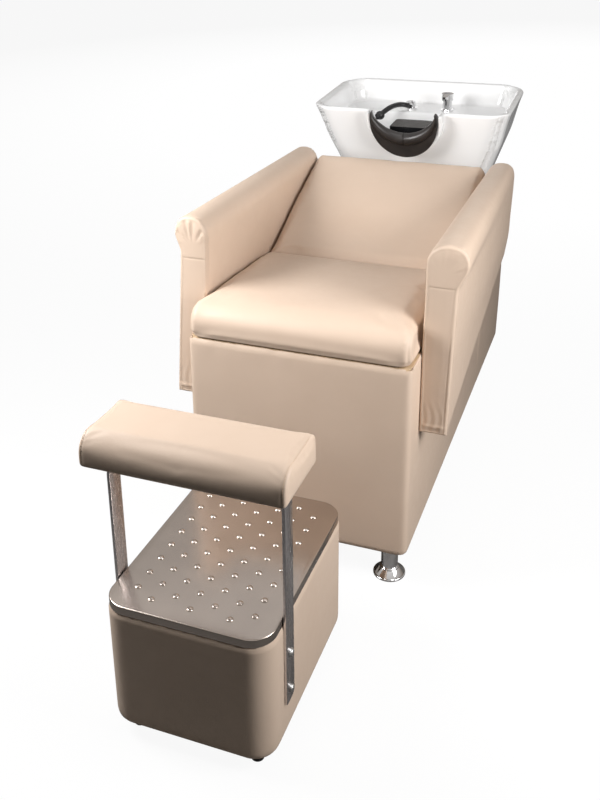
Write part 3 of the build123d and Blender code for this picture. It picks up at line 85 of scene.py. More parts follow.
STRAP_FRONT = -0.4915
STRAP_REAR = -0.4565
STRAP_TOP = 0.550
STRAP_BEND = 0.050
STRAP_LOW = 0.105
BOLT_HEIGHTS = (0.207, 0.129)
CALF_BOX = (-0.1820, 0.1895, -0.5490, -0.400, 0.5480, 0.6085)
CALF_SEAMS = (-0.1735, 0.1810)
CALF_STITCHES = (-0.1755, 0.1830)
LEG_PLACES = ((-0.2075, 0.0465), (0.2075, 0.0465), (-0.179, 1.180), (0.179, 1.180))
SEAT_SEAM = 0.2435
SEAT_FLOOR = 0.5405
TILT = radians(4.35)
LEAN = radians(17.95)    # the collar's, against the upright
RIM = (1.120, 0.900)    # (Y, Z) of the rim's middle
FRONT_CORNER = 0.060    # the bowl's corners in plan
REAR_CORNER = 0.092
COLLAR_RISE = 0.028
COLLAR_FRONT = -0.230    # in the basin's measures
GRIP_START = (-0.0520, 1.1935, 0.8490)
GRIP_END = (-0.1195, 1.0860, 0.8370)
GRIP_ARCH = 0.0170
GRIP_RADIUS = 0.0078
BALL_RADIUS = 0.0142
CLOTH_FRAMES = 18

# The soft boxes: spot, target, side and power
SOFT_BOXES = {
    "left_box": ((-1.0, -0.80, 1.30), (0, 0.1, 0.5), 0.7, 28.8),
    "right_box": ((1.5, -0.66, 1.2), (0, -0.1, 0.5), 0.8, 27.6),
    "right_edge": ((1.0, -0.80, 1.30), (0, 0.1, 0.5), 0.7, 3.7),
    "top_box": ((0.0, -0.1, 2.6), (0, 0, 0.4), 1.2, 6.9),
}


# Small tools

def only(obj):
    """Leaves one object selected and active."""
    bpy.ops.object.select_all(action="DESELECT")
    obj.select_set(True)
    bpy.context.view_layer.objects.active = obj


def copy_of(name, node):
    """A new piece from a CAD node, with its loose triangles merged."""
    obj = bpy.data.objects.new(name, NODES[node].data.copy())
    scene.collection.objects.link(obj)
    obj.data.name = name
    only(obj)
    bpy.ops.object.mode_set(mode="EDIT")
    bpy.ops.mesh.select_all(action="SELECT")
    bpy.ops.mesh.remove_doubles(threshold=0.00002)
    bpy.ops.object.mode_set(mode="OBJECT")
    obj.data.materials.clear()
    return obj


def apply_modifier(obj, kind, **settings):
    """Adds a modifier, sets it and applies it."""
    only(obj)
    modifier = obj.modifiers.new(kind.title(), kind)
    for key, value in settings.items():
        setattr(modifier, key, value)
    bpy.ops.object.modifier_apply(modifier=modifier.name)


def remesh(obj, voxel):
    """Even quads all over the piece."""
    only(obj)
    obj.data.remesh_voxel_size = voxel
    obj.data.use_remesh_fix_poles = True
    bpy.ops.object.voxel_remesh()


def points(obj):
    """The piece's vertices as rows of an array."""
    co = np.empty(len(obj.data.vertices) * 3)
    obj.data.vertices.foreach_get("co", co)
    return co.reshape(-1, 3)


def set_points(obj, co):
    """Writes the vertices back."""
    obj.data.vertices.foreach_set("co", np.ascontiguousarray(co).ravel())
    obj.data.update()


def normals(obj):
    """The piece's vertex normals as rows of an array."""
    out = np.empty(len(obj.data.vertices) * 3)
    obj.data.vertex_normals.foreach_get("vector", out)
    return out.reshape(-1, 3)


def shade(obj, angle=None):
    """Smooth shading all over, or up to an angle."""
    only(obj)
    if angle is None:
        bpy.ops.object.shade_smooth()
    else:
        bpy.ops.object.shade_smooth_by_angle(angle=angle)


def step(value, low, high):
    """A smooth step from 0 at low to 1 at high."""
    t = np.clip((value - low) / (high - low), 0, 1)
    return t * t * (3 - 2 * t)


def ridge(value, width):
    """A smooth bump of height 1 at zero that fades within width."""
    return np.exp(-(value / width) ** 2)


def finish_piece(obj, material, body, slot, *nodes):
    """Gives a piece its material, body and slot, and hides what it stands for."""
    obj.data.materials.clear()
    obj.data.materials.append(material)
    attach(obj, body)
    if nodes:
        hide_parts(*nodes)


def place(x, y, z):
    """A point from the chair's own measures to the model's frame."""
    return (x, y - MIDDLE, z)


def settle(obj, name):
    """Names a new primitive and puts its origin at the model's."""
    obj.name = name
    obj.data.name = name
    only(obj)
    bpy.ops.object.transform_apply(location=True, rotation=True, scale=True)
    return obj


def slab(name, x0, x1, y0, y1, z0, z1):
    """A block between chair measures, as a start."""
    bpy.ops.object.select_all(action="DESELECT")
    middle = place((x0 + x1) / 2, (y0 + y1) / 2, (z0 + z1) / 2)
    bpy.ops.mesh.primitive_cube_add(size=1, location=middle, scale=(x1 - x0, y1 - y0, z1 - z0))
    return settle(bpy.context.object, name)


def pick(obj, mode, test):
    """Selects vertices, edges or faces by the places of their points, and stays in edit mode."""
    only(obj)
    bpy.ops.object.mode_set(mode="EDIT")
    bpy.ops.mesh.select_mode(type=mode)
    bpy.ops.mesh.select_all(action="DESELECT")
    bpy.ops.object.mode_set(mode="OBJECT")
    mesh = obj.data
    rows = {"VERT": mesh.vertices, "EDGE": mesh.edges, "FACE": mesh.polygons}[mode]
    for row in rows:
        if mode == "VERT":
            row.select = bool(test(row.co))
        elif mode == "EDGE":
            row.select = bool(test(mesh.vertices[row.vertices[0]].co, mesh.vertices[row.vertices[1]].co))
        else:
            row.select = bool(test(row.center, row.normal))
    bpy.ops.object.mode_set(mode="EDIT")


def bevel_edges(obj, test, offset, segments):
    """Rounds the edges that pass the test."""
    pick(obj, "EDGE", test)
    bpy.ops.mesh.bevel(offset=offset, segments=segments, affect="EDGES", clamp_overlap=True)
    bpy.ops.object.mode_set(mode="OBJECT")


def upright(a, b):
    """Whether an edge runs along Z."""
    return abs(a.x - b.x) + abs(a.y - b.y) < 1e-5


def face_outward(obj):
    """Turns every face's normal outward."""
    only(obj)
    bpy.ops.object.mode_set(mode="EDIT")
    bpy.ops.mesh.select_all(action="SELECT")
    bpy.ops.mesh.normals_make_consistent(inside=False)
    bpy.ops.object.mode_set(mode="OBJECT")


def drop_faces(obj, test):
    """Deletes the faces that pass the test."""
    pick(obj, "FACE", test)
    bpy.ops.mesh.delete(type="FACE")
    bpy.ops.object.mode_set(mode="OBJECT")


def round_bar(name, stages, centre, turn=(0, 0, 0), sides=48, edge=0.0012):
    """Stacked round stages of (radius, low, high) about one axis, each with rounded rims."""
    parts = []
    spin = Matrix.Rotation(turn[2], 4, "Z") @ Matrix.Rotation(turn[1], 4, "Y") @ Matrix.Rotation(turn[0], 4, "X")
    for low_radius, high_radius, low, high in stages:
        middle = Matrix.Translation(centre) @ spin @ Matrix.Translation((0, 0, (low + high) / 2))
        bpy.ops.object.select_all(action="DESELECT")
        bpy.ops.mesh.primitive_cone_add(vertices=sides, radius1=low_radius, radius2=high_radius, depth=high - low,
                                        location=middle.translation, rotation=turn)
        part = settle(bpy.context.object, name)
        apply_modifier(part, "BEVEL", width=min(edge, (high - low) / 3), segments=3, limit_method="ANGLE",
                       angle_limit=radians(50))
        parts.append(part)
    return joined(name, parts)


def joined(name, parts):
    """Several pieces as one object."""
    bpy.ops.object.select_all(action="DESELECT")
    for part in parts:
        part.select_set(True)
    bpy.context.view_layer.objects.active = parts[0]
    if len(parts) > 1:
        bpy.ops.object.join()
    obj = bpy.context.view_layer.objects.active
    obj.name = name
    obj.data.name = name
    return obj


def smooth(obj, factor, times):
    """Evens out the surface."""
    apply_modifier(obj, "SMOOTH", factor=factor, iterations=times)


def puff(obj, shrink, cap, pressure, held):
    """Cloth under pressure swells a pad from a slightly smaller start, and no point passes the cap."""
    start = points(obj).copy()
    fixed = held(start)
    loose = (~fixed)[:, None]
    inner = start - normals(obj) * shrink * loose
    set_points(obj, inner)
    only(obj)
    group = obj.vertex_groups.new(name="held")
    group.add([int(i) for i in np.nonzero(fixed)[0]], 1.0, "REPLACE")
    cloth = obj.modifiers.new("Cloth", "CLOTH")
    cloth.settings.quality = 4
    cloth.settings.mass = 0.3
    cloth.settings.tension_stiffness = 12
    cloth.settings.bending_stiffness = 4
    cloth.settings.use_pressure = True
    cloth.settings.uniform_pressure_force = pressure
    cloth.settings.vertex_group_mass = "held"
    cloth.settings.effector_weights.gravity = 0
    for frame_number in range(1, CLOTH_FRAMES + 1):
        scene.frame_set(frame_number)
    bpy.ops.object.modifier_apply(modifier="Cloth")
    scene.frame_set(1)
    move = points(obj) - inner
    size = np.linalg.norm(move, axis=1, keepdims=True)
    set_points(obj, inner + move * np.minimum(1, cap / np.maximum(size, 1e-9)))


# Materials

def new_material(name):
    """A material with its node tree, shader and object coordinates."""
    material = bpy.data.materials.new(name)
    material.use_nodes = True
    tree = material.node_tree
    shader = tree.nodes["Principled BSDF"]
    coords = tree.nodes.new("ShaderNodeTexCoord")
    return material, tree, shader, coords


def noise(tree, coords, scale, detail=3.0, stretch=None):
    """Noise on object coordinates, stretched where asked."""
    texture = tree.nodes.new("ShaderNodeTexNoise")
    texture.inputs["Scale"].default_value = scale
    texture.inputs["Detail"].default_value = detail
    source = coords.outputs["Object"]
    if stretch:
        mapping = tree.nodes.new("ShaderNodeMapping")
        mapping.inputs["Scale"].default_value = stretch
        tree.links.new(source, mapping.inputs["Vector"])
        source = mapping.outputs["Vector"]
    tree.links.new(source, texture.inputs["Vector"])
    return texture


def ramp(tree, source, low, high, low_value, high_value):
    """A colour ramp between two places; values are colours or numbers."""
    node = tree.nodes.new("ShaderNodeValToRGB")
    node.color_ramp.elements[0].position = low
    node.color_ramp.elements[1].position = high
    for element, value in zip(node.color_ramp.elements, (low_value, high_value)):
        element.color = (*value, 1) if hasattr(value, "__len__") else (value, value, value, 1)
    tree.links.new(source, node.inputs["Fac"])
    return node.outputs["Color"]


def bump(tree, shader, height, strength, distance, under=None):
    """A bump from a height, on top of another bump if given."""
    node = tree.nodes.new("ShaderNodeBump")
    node.inputs["Strength"].default_value = strength
    node.inputs["Distance"].default_value = distance
    tree.links.new(height, node.inputs["Height"])
    if under:
        tree.links.new(under.outputs["Normal"], node.inputs["Normal"])
    tree.links.new(node.outputs["Normal"], shader.inputs["Normal"])
    return node


def vary(tree, texture, low_value, high_value, socket):
    """Carries a texture's middle range to a socket as colours or numbers."""
    tree.links.new(ramp(tree, texture.outputs["Fac"], 0.3, 0.7, low_value, high_value), socket)


def leather(name, light, dark):
    """Soft satin leather: fine pebble grain, slight mottling and a roughness that varies."""
    material, tree, shader, coords = new_material(name)
    mottle = noise(tree, coords, 9.0, 4.0)
    vary(tree, mottle, dark, light, shader.inputs["Base Color"])
    pores = tree.nodes.new("ShaderNodeTexVoronoi")
    pores.feature = "DISTANCE_TO_EDGE"
    pores.inputs["Scale"].default_value = 620.0
    tree.links.new(coords.outputs["Object"], pores.inputs["Vector"])
    rough = noise(tree, coords, 45.0, 3.0)
    vary(tree, rough, 0.44, 0.56, shader.inputs["Roughness"])
    soft = noise(tree, coords, 28.0, 2.0)
    first = bump(tree, shader, soft.outputs["Fac"], 0.12, 0.004)
    bump(tree, shader, pores.outputs["Distance"], 0.22, 0.0006, first)
    shader.inputs["Specular IOR Level"].default_value = 0.42
    shader.inputs["Sheen Weight"].default_value = 0.06
    shader.inputs["Sheen Roughness"].default_value = 0.45
    return material


def brushed(name, colour, roughness, stretch, streaks=900.0, relief=0.04):
    """Brushed metal with fine streaks along one axis."""
    material, tree, shader, coords = new_material(name)
    shader.inputs["Metallic"].default_value = 1.0
    lines = noise(tree, coords, streaks, 2.0, stretch)
    cloud = noise(tree, coords, 7.0, 3.0)
    darker = tuple(0.86 * c for c in colour)
    vary(tree, cloud, darker, colour, shader.inputs["Base Color"])
    vary(tree, lines, roughness * 0.9, roughness * 1.1, shader.inputs["Roughness"])
    bump(tree, shader, lines.outputs["Fac"], relief, 0.0003)
    return material


def polished(name, colour, roughness):
    """Bright plating with faint smears."""
    material, tree, shader, coords = new_material(name)
    shader.inputs["Metallic"].default_value = 1.0
    shader.inputs["Base Color"].default_value = (*colour, 1)
    smears = noise(tree, coords, 40.0, 3.0)
    dull = ramp(tree, smears.outputs["Fac"], 0.35, 0.75, roughness, roughness * 2.2)
    tree.links.new(dull, shader.inputs["Roughness"])
    return material


def glaze(name, light, dark):
    """White glazed ceramic: clear gloss, and a faint glow as a lighting aid for the shaded side."""
    material, tree, shader, coords = new_material(name)
    cloud = noise(tree, coords, 5.0, 3.0)
    vary(tree, cloud, dark, light, shader.inputs["Base Color"])
    wave = noise(tree, coords, 14.0, 2.0)
    vary(tree, wave, 0.09, 0.14, shader.inputs["Roughness"])
    bump(tree, shader, wave.outputs["Fac"], 0.05, 0.002)
    shader.inputs["Coat Weight"].default_value = 0.2
    shader.inputs["Emission Color"].default_value = (1.0, 0.99, 0.98, 1.0)
    shader.inputs["Emission Strength"].default_value = 0.13
    shader.inputs["Coat Roughness"].default_value = 0.04
    return material


def moulded(name, colour, roughness, grain):
    """Moulded plastic or rubber with a fine texture."""
    material, tree, shader, coords = new_material(name)
    cloud = noise(tree, coords, 25.0, 3.0)
    lighter = tuple(1.3 * c + 0.002 for c in colour)
    vary(tree, cloud, colour, lighter, shader.inputs["Base Color"])
    vary(tree, cloud, roughness * 0.85, roughness * 1.15, shader.inputs["Roughness"])
    fine = noise(tree, coords, 1400.0, 2.0)
    bump(tree, shader, fine.outputs["Fac"], grain, 0.0002)
    return material


def plywood(name):
    """Raw birch board with long grain."""
    material, tree, shader, coords = new_material(name)
    grain = noise(tree, coords, 12.0, 6.0, (12.0, 0.8, 9.0))
    vary(tree, grain, (0.42, 0.29, 0.17), (0.60, 0.45, 0.29), shader.inputs["Base Color"])
    shader.inputs["Roughness"].default_value = 0.7
    bump(tree, shader, grain.outputs["Fac"], 0.15, 0.0006)
    return material


LEATHER = leather("beige_leather", (0.655, 0.510, 0.400), (0.630, 0.486, 0.378))
THREAD = moulded("beige_thread", (0.56, 0.41, 0.29), 0.7, 0.3)
# The step plate's darker, warm brown-grey colour is partly the steel's own tone and partly a painted reflection of the
# beige leather and dark surroundings.
STEP_STEEL = brushed("step_plate_steel", (0.56, 0.49, 0.44), 0.21, (1.0, 0.04, 1.0), 1600.0, 0.012)
STRAP_STEEL = brushed("strap_steel", (0.70, 0.67, 0.68), 0.26, (1.0, 1.0, 0.03))
BRACKET_STEEL = brushed("basin_bracket_steel", (0.50, 0.50, 0.50), 0.34, (0.03, 1.0, 1.0))
CHROME = polished("chrome", (0.86, 0.86, 0.87), 0.05)
ZINC = polished("zinc_plating", (0.62, 0.62, 0.61), 0.22)
CERAMIC = glaze("white_glaze", (0.80, 0.795, 0.79), (0.78, 0.78, 0.78))
NECK_RUBBER = moulded("neck_rubber", (0.019, 0.016, 0.015), 0.36, 0.05)
FOOT_RUBBER = moulded("foot_rubber", (0.014, 0.014, 0.014), 0.6, 0.3)
BLACK_PLASTIC = moulded("black_plastic", (0.010, 0.010, 0.011), 0.20, 0.05)
PLY = plywood("birch_board")

FINISHES = {
    "leather": LEATHER, "board": PLY, "stainless": STEP_STEEL, "strap_steel": STRAP_STEEL, "chrome": CHROME,
    "zinc": ZINC, "rubber": NECK_RUBBER, "black_plastic": BLACK_PLASTIC, "glazed_ceramic": CERAMIC,
}


def dress_cad():
    """Every carried-over node takes the finish of its slot."""
    own = {"rubber_feet": FOOT_RUBBER, "basin_stand": BRACKET_STEEL, "basin_cradle": BRACKET_STEEL}
    for entry in frame["record"]["subparts"]:
        node = NODES[entry["node"]]
        material = own.get(entry["node"], FINISHES[entry["material_slot"]])
        node.data.materials.clear()
        node.data.materials.append(material)


def set_camera():
    """The photograph's camera."""
    data = bpy.data.cameras.new("photo_camera")
    camera = bpy.data.objects.new("photo_camera", data)
    scene.collection.objects.link(camera)
    turn = Matrix.Rotation(CAMERA_YAW, 4, "Z") @ Matrix.Rotation(pi / 2 - CAMERA_PITCH, 4, "X")
    turn = turn @ Matrix.Rotation(-CAMERA_ROLL, 4, "Z")
    camera.matrix_world = Matrix.Translation(CAMERA_PLACE) @ turn
    data.lens = CAMERA_LENS
    data.sensor_width = 36.0
    data.shift_x, data.shift_y = CAMERA_SHIFT
    data.clip_start, data.clip_end = 0.05, 60.0
    scene.camera = camera


def area_light(name, spot, target, size, power):
    """A square soft box aimed at a point."""
    data = bpy.data.lights.new(name, "AREA")
    data.shape = "SQUARE"
    data.size = size
    data.energy = power
    light = bpy.data.objects.new(name, data)
    scene.collection.objects.link(light)
    light.location = spot
    way = Matrix.Translation(target).translation - light.location
    light.rotation_euler = way.to_track_quat("-Z", "Y").to_euler()


def light_split(tree, near, far):
    """A mix that shows one shader to camera and transmission rays and the other to all the rest."""
    path = tree.nodes.new("ShaderNodeLightPath")
    seen = tree.nodes.new("ShaderNodeMath")
    seen.operation = "MAXIMUM"
    tree.links.new(path.outputs["Is Camera Ray"], seen.inputs[0])
    tree.links.new(path.outputs["Is Transmission Ray"], seen.inputs[1])
    mix = tree.nodes.new("ShaderNodeMixShader")
    tree.links.new(seen.outputs[0], mix.inputs["Fac"])
    tree.links.new(far, mix.inputs[1])
    tree.links.new(near, mix.inputs[2])
    return mix.outputs["Shader"]


def set_studio():
    """A white floor and surround under the soft boxes: one left, two right and one above."""
    bpy.ops.object.select_all(action="DESELECT")
    bpy.ops.mesh.primitive_plane_add(size=30.0, location=(0, 6.0, 0))
    floor = bpy.context.object
    floor.name = "studio_floor"
    material, tree, shader, coords = new_material("studio_floor")
    shader.inputs["Base Color"].default_value = (0.90, 0.90, 0.90, 1)
    shader.inputs["Roughness"].default_value = 1.0
    shader.inputs["Specular IOR Level"].default_value = 0.0
    glow = tree.nodes.new("ShaderNodeEmission")
    glow.inputs["Color"].default_value = (1, 1, 1, 1)
    glow.inputs["Strength"].default_value = 1.0
    lit = tree.nodes.new("ShaderNodeMixShader")
    span = tree.nodes.new("ShaderNodeVectorMath")
    span.operation = "LENGTH"
    tree.links.new(coords.outputs["Object"], span.inputs[0])
    reach = tree.nodes.new("ShaderNodeMapRange")
    for key, value in (("From Min", 6.6), ("From Max", 3.4), ("To Min", 0.93), ("To Max", 1.0)):
        reach.inputs[key].default_value = value
    tree.links.new(span.outputs["Value"], reach.inputs["Value"])
    tree.links.new(reach.outputs["Result"], lit.inputs["Fac"])
    tree.links.new(shader.outputs["BSDF"], lit.inputs[1])
    tree.links.new(glow.outputs["Emission"], lit.inputs[2])
    grey = tree.nodes.new("ShaderNodeBsdfDiffuse")
    grey.inputs["Color"].default_value = (0.16, 0.155, 0.15, 1)
    split = light_split(tree, lit.outputs["Shader"], grey.outputs["BSDF"])
    tree.links.new(split, tree.nodes["Material Output"].inputs["Surface"])
    floor.data.materials.append(material)
    world = bpy.data.worlds.new("studio")
    scene.world = world
    world.use_nodes = True
    tree = world.node_tree
    coords = tree.nodes.new("ShaderNodeTexCoord")
    split = tree.nodes.new("ShaderNodeSeparateXYZ")
    tree.links.new(coords.outputs["Generated"], split.inputs["Vector"])
    room = tree.nodes["Background"]
    height = ramp(tree, split.outputs["Z"], 0.05, 0.75, (0.20, 0.17, 0.145), (0.62, 0.61, 0.60))
    tree.links.new(height, room.inputs["Color"])
    path = tree.nodes.new("ShaderNodeLightPath")
    gain = tree.nodes.new("ShaderNodeMapRange")
    gain.inputs["To Min"].default_value = 0.05
    gain.inputs["To Max"].default_value = 1.15
    tree.links.new(path.outputs["Is Glossy Ray"], gain.inputs["Value"])
    tree.links.new(gain.outputs["Result"], room.inputs["Strength"])
    white = tree.nodes.new("ShaderNodeBackground")
    white.inputs["Color"].default_value = (1, 1, 1, 1)
    white.inputs["Strength"].default_value = 1.0
    seen = light_split(tree, white.outputs["Background"], room.outputs["Background"])
    tree.links.new(seen, tree.nodes["World Output"].inputs["Surface"])
    for name, settings in SOFT_BOXES.items():
        area_light(name, *settings)
    scene.view_settings.view_transform = "Standard"


# Foot unit

def wrapped_box(name, half, front, rear, low, top, corner, bottom, voxel, swell):
    """Leather pulled over a box: round corners, a round lower edge and slightly full faces."""
    obj = slab(name, -half, half, front, rear, low, top)
    bevel_edges(obj, upright, corner, 10)
    bevel_edges(obj, lambda a, b: max(a.z, b.z) < low + 1e-4, bottom, 5)
    remesh(obj, voxel)
    smooth(obj, 0.5, 4)
    co = points(obj)
    n = normals(obj)
    y = co[:, 1] + MIDDLE
    across = 1 - (co[:, 0] / half) ** 2
    along = 1 - ((2 * y - front - rear) / (rear - front)) ** 2
    upward = np.clip((co[:, 2] - low) * (top - co[:, 2]) * 4 / (top - low) ** 2, 0, 1)
    co[:, 1] += np.sign(n[:, 1]) * swell * np.clip(across, 0, 1) * upward * (abs(n[:, 1]) > 0.7)
    co[:, 0] += np.sign(n[:, 0]) * 0.3 * swell * np.clip(along, 0, 1) * upward * (abs(n[:, 0]) > 0.7)
    return obj, co


def foot_cover():
    """The foot box's leather."""
    half = PLATE_HALF + FOOT_BULGE
    front = PLATE_FRONT - FOOT_BULGE
    rear = PLATE_REAR + FOOT_BULGE
    top = PLATE_TOP - PLATE_LIP
    obj, co = wrapped_box("foot_leather", half, front, rear, FOOT_LOW, top + 0.010, PLATE_CORNER,
                          bottom=0.017, voxel=0.006, swell=0.002)
    drawn = ridge(co[:, 2] - top, 0.007)
    co[:, 1] += 0.0006 * drawn * np.sin(co[:, 0] * 190 + np.sin(co[:, 0] * 61))
    co[:, 0] = np.clip(co[:, 0], -half, half)
    tuck = 1 - 0.024 * step(co[:, 2], top - 0.007, top + 0.001)
    centre = (front + rear) / 2 - MIDDLE
    co[:, 0] *= tuck
    co[:, 1] = centre + (co[:, 1] - centre) * (0.25 + 0.75 * tuck)
    set_points(obj, co)
    drop_faces(obj, lambda c, n: c.z > top + 0.006)
    apply_modifier(obj, "SOLIDIFY", thickness=0.003, offset=-1)
    shade(obj, radians(50))
    finish_piece(obj, LEATHER, "foot_unit", "leather", "foot_cover")


def dome_places():
    """Staggered rows of dimples on the plate."""
    middle = (PLATE_FRONT + PLATE_REAR) / 2
    for column in range(7):
        shift = (column + 1) % 2
        for row in range(9 - shift):
            yield (column - 3) * DIMPLE_PITCH[0], middle + (row + shift / 2 - 4) * DIMPLE_PITCH[1]


def step_plate():
    """The pressed plate: a sheet with a rolled edge and turned-down lip, and round dimples."""
    sheet = slab("step_sheet", -PLATE_HALF, PLATE_HALF, PLATE_FRONT, PLATE_REAR, PLATE_TOP - PLATE_LIP, PLATE_TOP)
    bevel_edges(sheet, upright, PLATE_CORNER, 14)
    bevel_edges(sheet, lambda a, b: min(a.z, b.z) > PLATE_TOP - 1e-4, 0.0022, 4)
    drop_faces(sheet, lambda c, n: n.z < -0.9)
    apply_modifier(sheet, "SOLIDIFY", thickness=0.0018, offset=-1)
    bpy.ops.object.select_all(action="DESELECT")
    bpy.ops.mesh.primitive_uv_sphere_add(segments=20, ring_count=12, radius=DIMPLE_RADIUS, location=(0, 0, 0),
                                         scale=(1, 1, 0.46))
    dome = settle(bpy.context.object, "dimple")
    bpy.ops.object.mode_set(mode="EDIT")
    bpy.ops.mesh.select_all(action="SELECT")
    bpy.ops.mesh.bisect(plane_co=(0, 0, -0.0003), plane_no=(0, 0, 1), clear_inner=True, use_fill=True)
    bpy.ops.object.mode_set(mode="OBJECT")
    parts = [sheet]
    for x, y in dome_places():
        part = bpy.data.objects.new("dimple", dome.data.copy())
        scene.collection.objects.link(part)
        part.data.transform(Matrix.Translation(place(x, y, PLATE_TOP)))
        parts.append(part)
    bpy.data.objects.remove(dome)
    obj = joined("step_plate_pressed", parts)
    shade(obj, radians(40))
    finish_piece(obj, STEP_STEEL, "foot_unit", "stainless", "step_plate")


def strap():
    """The flat bar bent over the box, with rolled long edges and its rear lower corners cut."""
    inner, outer, front, rear = STRAP_INNER, STRAP_OUTER, STRAP_FRONT, STRAP_REAR
    top, bend, low = STRAP_TOP, STRAP_BEND, STRAP_LOW
    bpy.ops.object.select_all(action="DESELECT")
    middle = place((inner + outer) / 2, (front + rear) / 2, low)
    bpy.ops.mesh.primitive_plane_add(size=1, location=middle)
    obj = bpy.context.object
    obj.scale = (outer - inner, rear - front, 1)
    settle(obj, "bent_strap")
    bpy.ops.object.mode_set(mode="EDIT")
    bpy.ops.mesh.select_all(action="SELECT")
    straight = top - bend - low
    bpy.ops.mesh.extrude_region_move(TRANSFORM_OT_translate={"value": (0, 0, straight)})
    bpy.ops.mesh.spin(steps=14, angle=pi / 2, center=place(outer - bend, 0, top - bend), axis=(0, 1, 0))
    bpy.ops.mesh.extrude_region_move(TRANSFORM_OT_translate={"value": (-2 * (outer - bend), 0, 0)})
    bpy.ops.mesh.spin(steps=14, angle=pi / 2, center=place(bend - outer, 0, top - bend), axis=(0, 1, 0))
    bpy.ops.mesh.extrude_region_move(TRANSFORM_OT_translate={"value": (0, 0, -straight)})
    bpy.ops.mesh.select_all(action="SELECT")
    bpy.ops.mesh.remove_doubles(threshold=0.00001)
    bpy.ops.object.mode_set(mode="OBJECT")
    face_outward(obj)
    bevel_edges(obj, lambda a, b: min(a.y, b.y) > rear - MIDDLE - 1e-4 and max(a.z, b.z) < low + 1e-4, 0.012, 4)
    apply_modifier(obj, "BEVEL", width=0.0009, segments=2, limit_method="ANGLE", angle_limit=radians(60))
    shade(obj, radians(35))
    finish_piece(obj, STRAP_STEEL, "foot_unit", "strap_steel", "calf_bracket")


def bracket_bolts():
    """Low domed bolt heads on washers, outside the strap, on shanks through the box's side."""
    stages = [(0.0038, 0.0038, -0.024, 0.0), (0.0085, 0.0085, 0.0, 0.0012), (0.0072, 0.0058, 0.0012, 0.0048)]
    parts = []
    for side in (-1, 1):
        for z in BOLT_HEIGHTS:
            centre = place(side * STRAP_OUTER, (STRAP_FRONT + STRAP_REAR) / 2, z)
            parts.append(round_bar("bolt", stages, centre, (0, side * pi / 2, 0), sides=28, edge=0.0012))
    obj = joined("bracket_bolt_set", parts)
    shade(obj, radians(40))
    finish_piece(obj, ZINC, "foot_unit", "zinc", "bracket_bolts")


def calf_rest():
    """The calf rest's pad: full but flat on top, round along its front, with sewn end panels."""
    obj = slab("calf_rest_pad", *CALF_BOX)
    long = [lambda a, b: abs(a.x - b.x) > 0.01 and min(a.z, b.z) > 0.607 and max(a.y, b.y) < -0.9,
            lambda a, b: abs(a.x - b.x) > 0.01 and min(a.z, b.z) > 0.607 and min(a.y, b.y) > -0.80]
    bevel_edges(obj, long[0], 0.036, 10)
    bevel_edges(obj, long[1], 0.014, 6)
    bevel_edges(obj, lambda a, b: abs(a.x - b.x) > 0.01 and max(a.z, b.z) < 0.5481, 0.006, 3)
    bevel_edges(obj, lambda a, b: abs(a.x - b.x) < 1e-5 and max(abs(a.x), abs(b.x)) > 0.18, 0.008, 4)
    remesh(obj, 0.0034)
    smooth(obj, 0.5, 2)
    puff(obj, 0.0010, 0.0026, 4.0, lambda co: co[:, 2] < 0.550)
    smooth(obj, 0.5, 8)
    co = points(obj)
    n = normals(obj)
    for x in CALF_SEAMS:
        groove = ridge(co[:, 0] - x, 0.0018) * (co[:, 2] > 0.553)
        co -= n * (0.0010 * groove)[:, None]
    co[:, 2] = np.where(co[:, 2] < 0.5478, 0.5478, co[:, 2])
    set_points(obj, co)
    shade(obj)
    lines = []
    for x in CALF_STITCHES:
        lines += surface_runs(obj, (x, 0, 0), (1, 0, 0), lambda co: co.z > 0.556 and co.y < -0.80)
    thread = tube("calf_rest_stitches", dashes(lines, 0.0030, 0.0020), 0.00045)
    finish_piece(thread, THREAD, "foot_unit", "leather")
    finish_piece(obj, LEATHER, "foot_unit", "leather", "calf_cushion")


# Thread along a surface

def surface_runs(obj, corner, normal, keep):
    """The ordered points where a plane cuts the surface, as one run for each unbroken line."""
    line = bpy.data.objects.new("cut", obj.data.copy())
    scene.collection.objects.link(line)
    only(line)
    bpy.ops.object.mode_set(mode="EDIT")
    bpy.ops.mesh.select_mode(type="VERT")
    bpy.ops.mesh.select_all(action="SELECT")
    bpy.ops.mesh.bisect(plane_co=corner, plane_no=normal, use_fill=False)
    bpy.ops.mesh.select_all(action="INVERT")
    bpy.ops.mesh.delete(type="VERT")
    bpy.ops.object.mode_set(mode="OBJECT")
    pick(line, "VERT", lambda co: not keep(co))
    bpy.ops.mesh.delete(type="VERT")
    bpy.ops.object.mode_set(mode="OBJECT")
    only(line)
    bpy.ops.object.convert(target="CURVE")
    line = bpy.context.object
    runs = [np.array([p.co[:3] for p in spline.points]) for spline in line.data.splines if len(spline.points) > 3]
    bpy.data.objects.remove(line)
    return runs


def dashes(runs, length, gap):
    """Short stitches along each run."""
    out = []
    for run in runs:
        way = np.concatenate([[0], np.cumsum(np.linalg.norm(np.diff(run, axis=0), axis=1))])
        for start in np.arange(0, way[-1] - length, length + gap):
            at = (start, start + length / 2, start + length)
            out.append(np.stack([np.interp(at, way, run[:, k]) for k in range(3)], axis=1))
    return out


def tube(name, runs, radius, resolution=1):
    """A round cord along each run of points."""
    curve = bpy.data.curves.new(name, "CURVE")
    curve.dimensions = "3D"
    curve.bevel_depth = radius
    curve.bevel_resolution = resolution
    curve.use_fill_caps = True
    for run in runs:
        spline = curve.splines.new("POLY")
        spline.points.add(len(run) - 1)
        for point, co in zip(spline.points, run):
            point.co = (*co, 1)
    obj = bpy.data.objects.new(name, curve)
    scene.collection.objects.link(obj)
    only(obj)
    bpy.ops.object.convert(target="MESH")
    obj = bpy.context.object
    obj.name = name
    shade(obj)
    return obj


# Chair

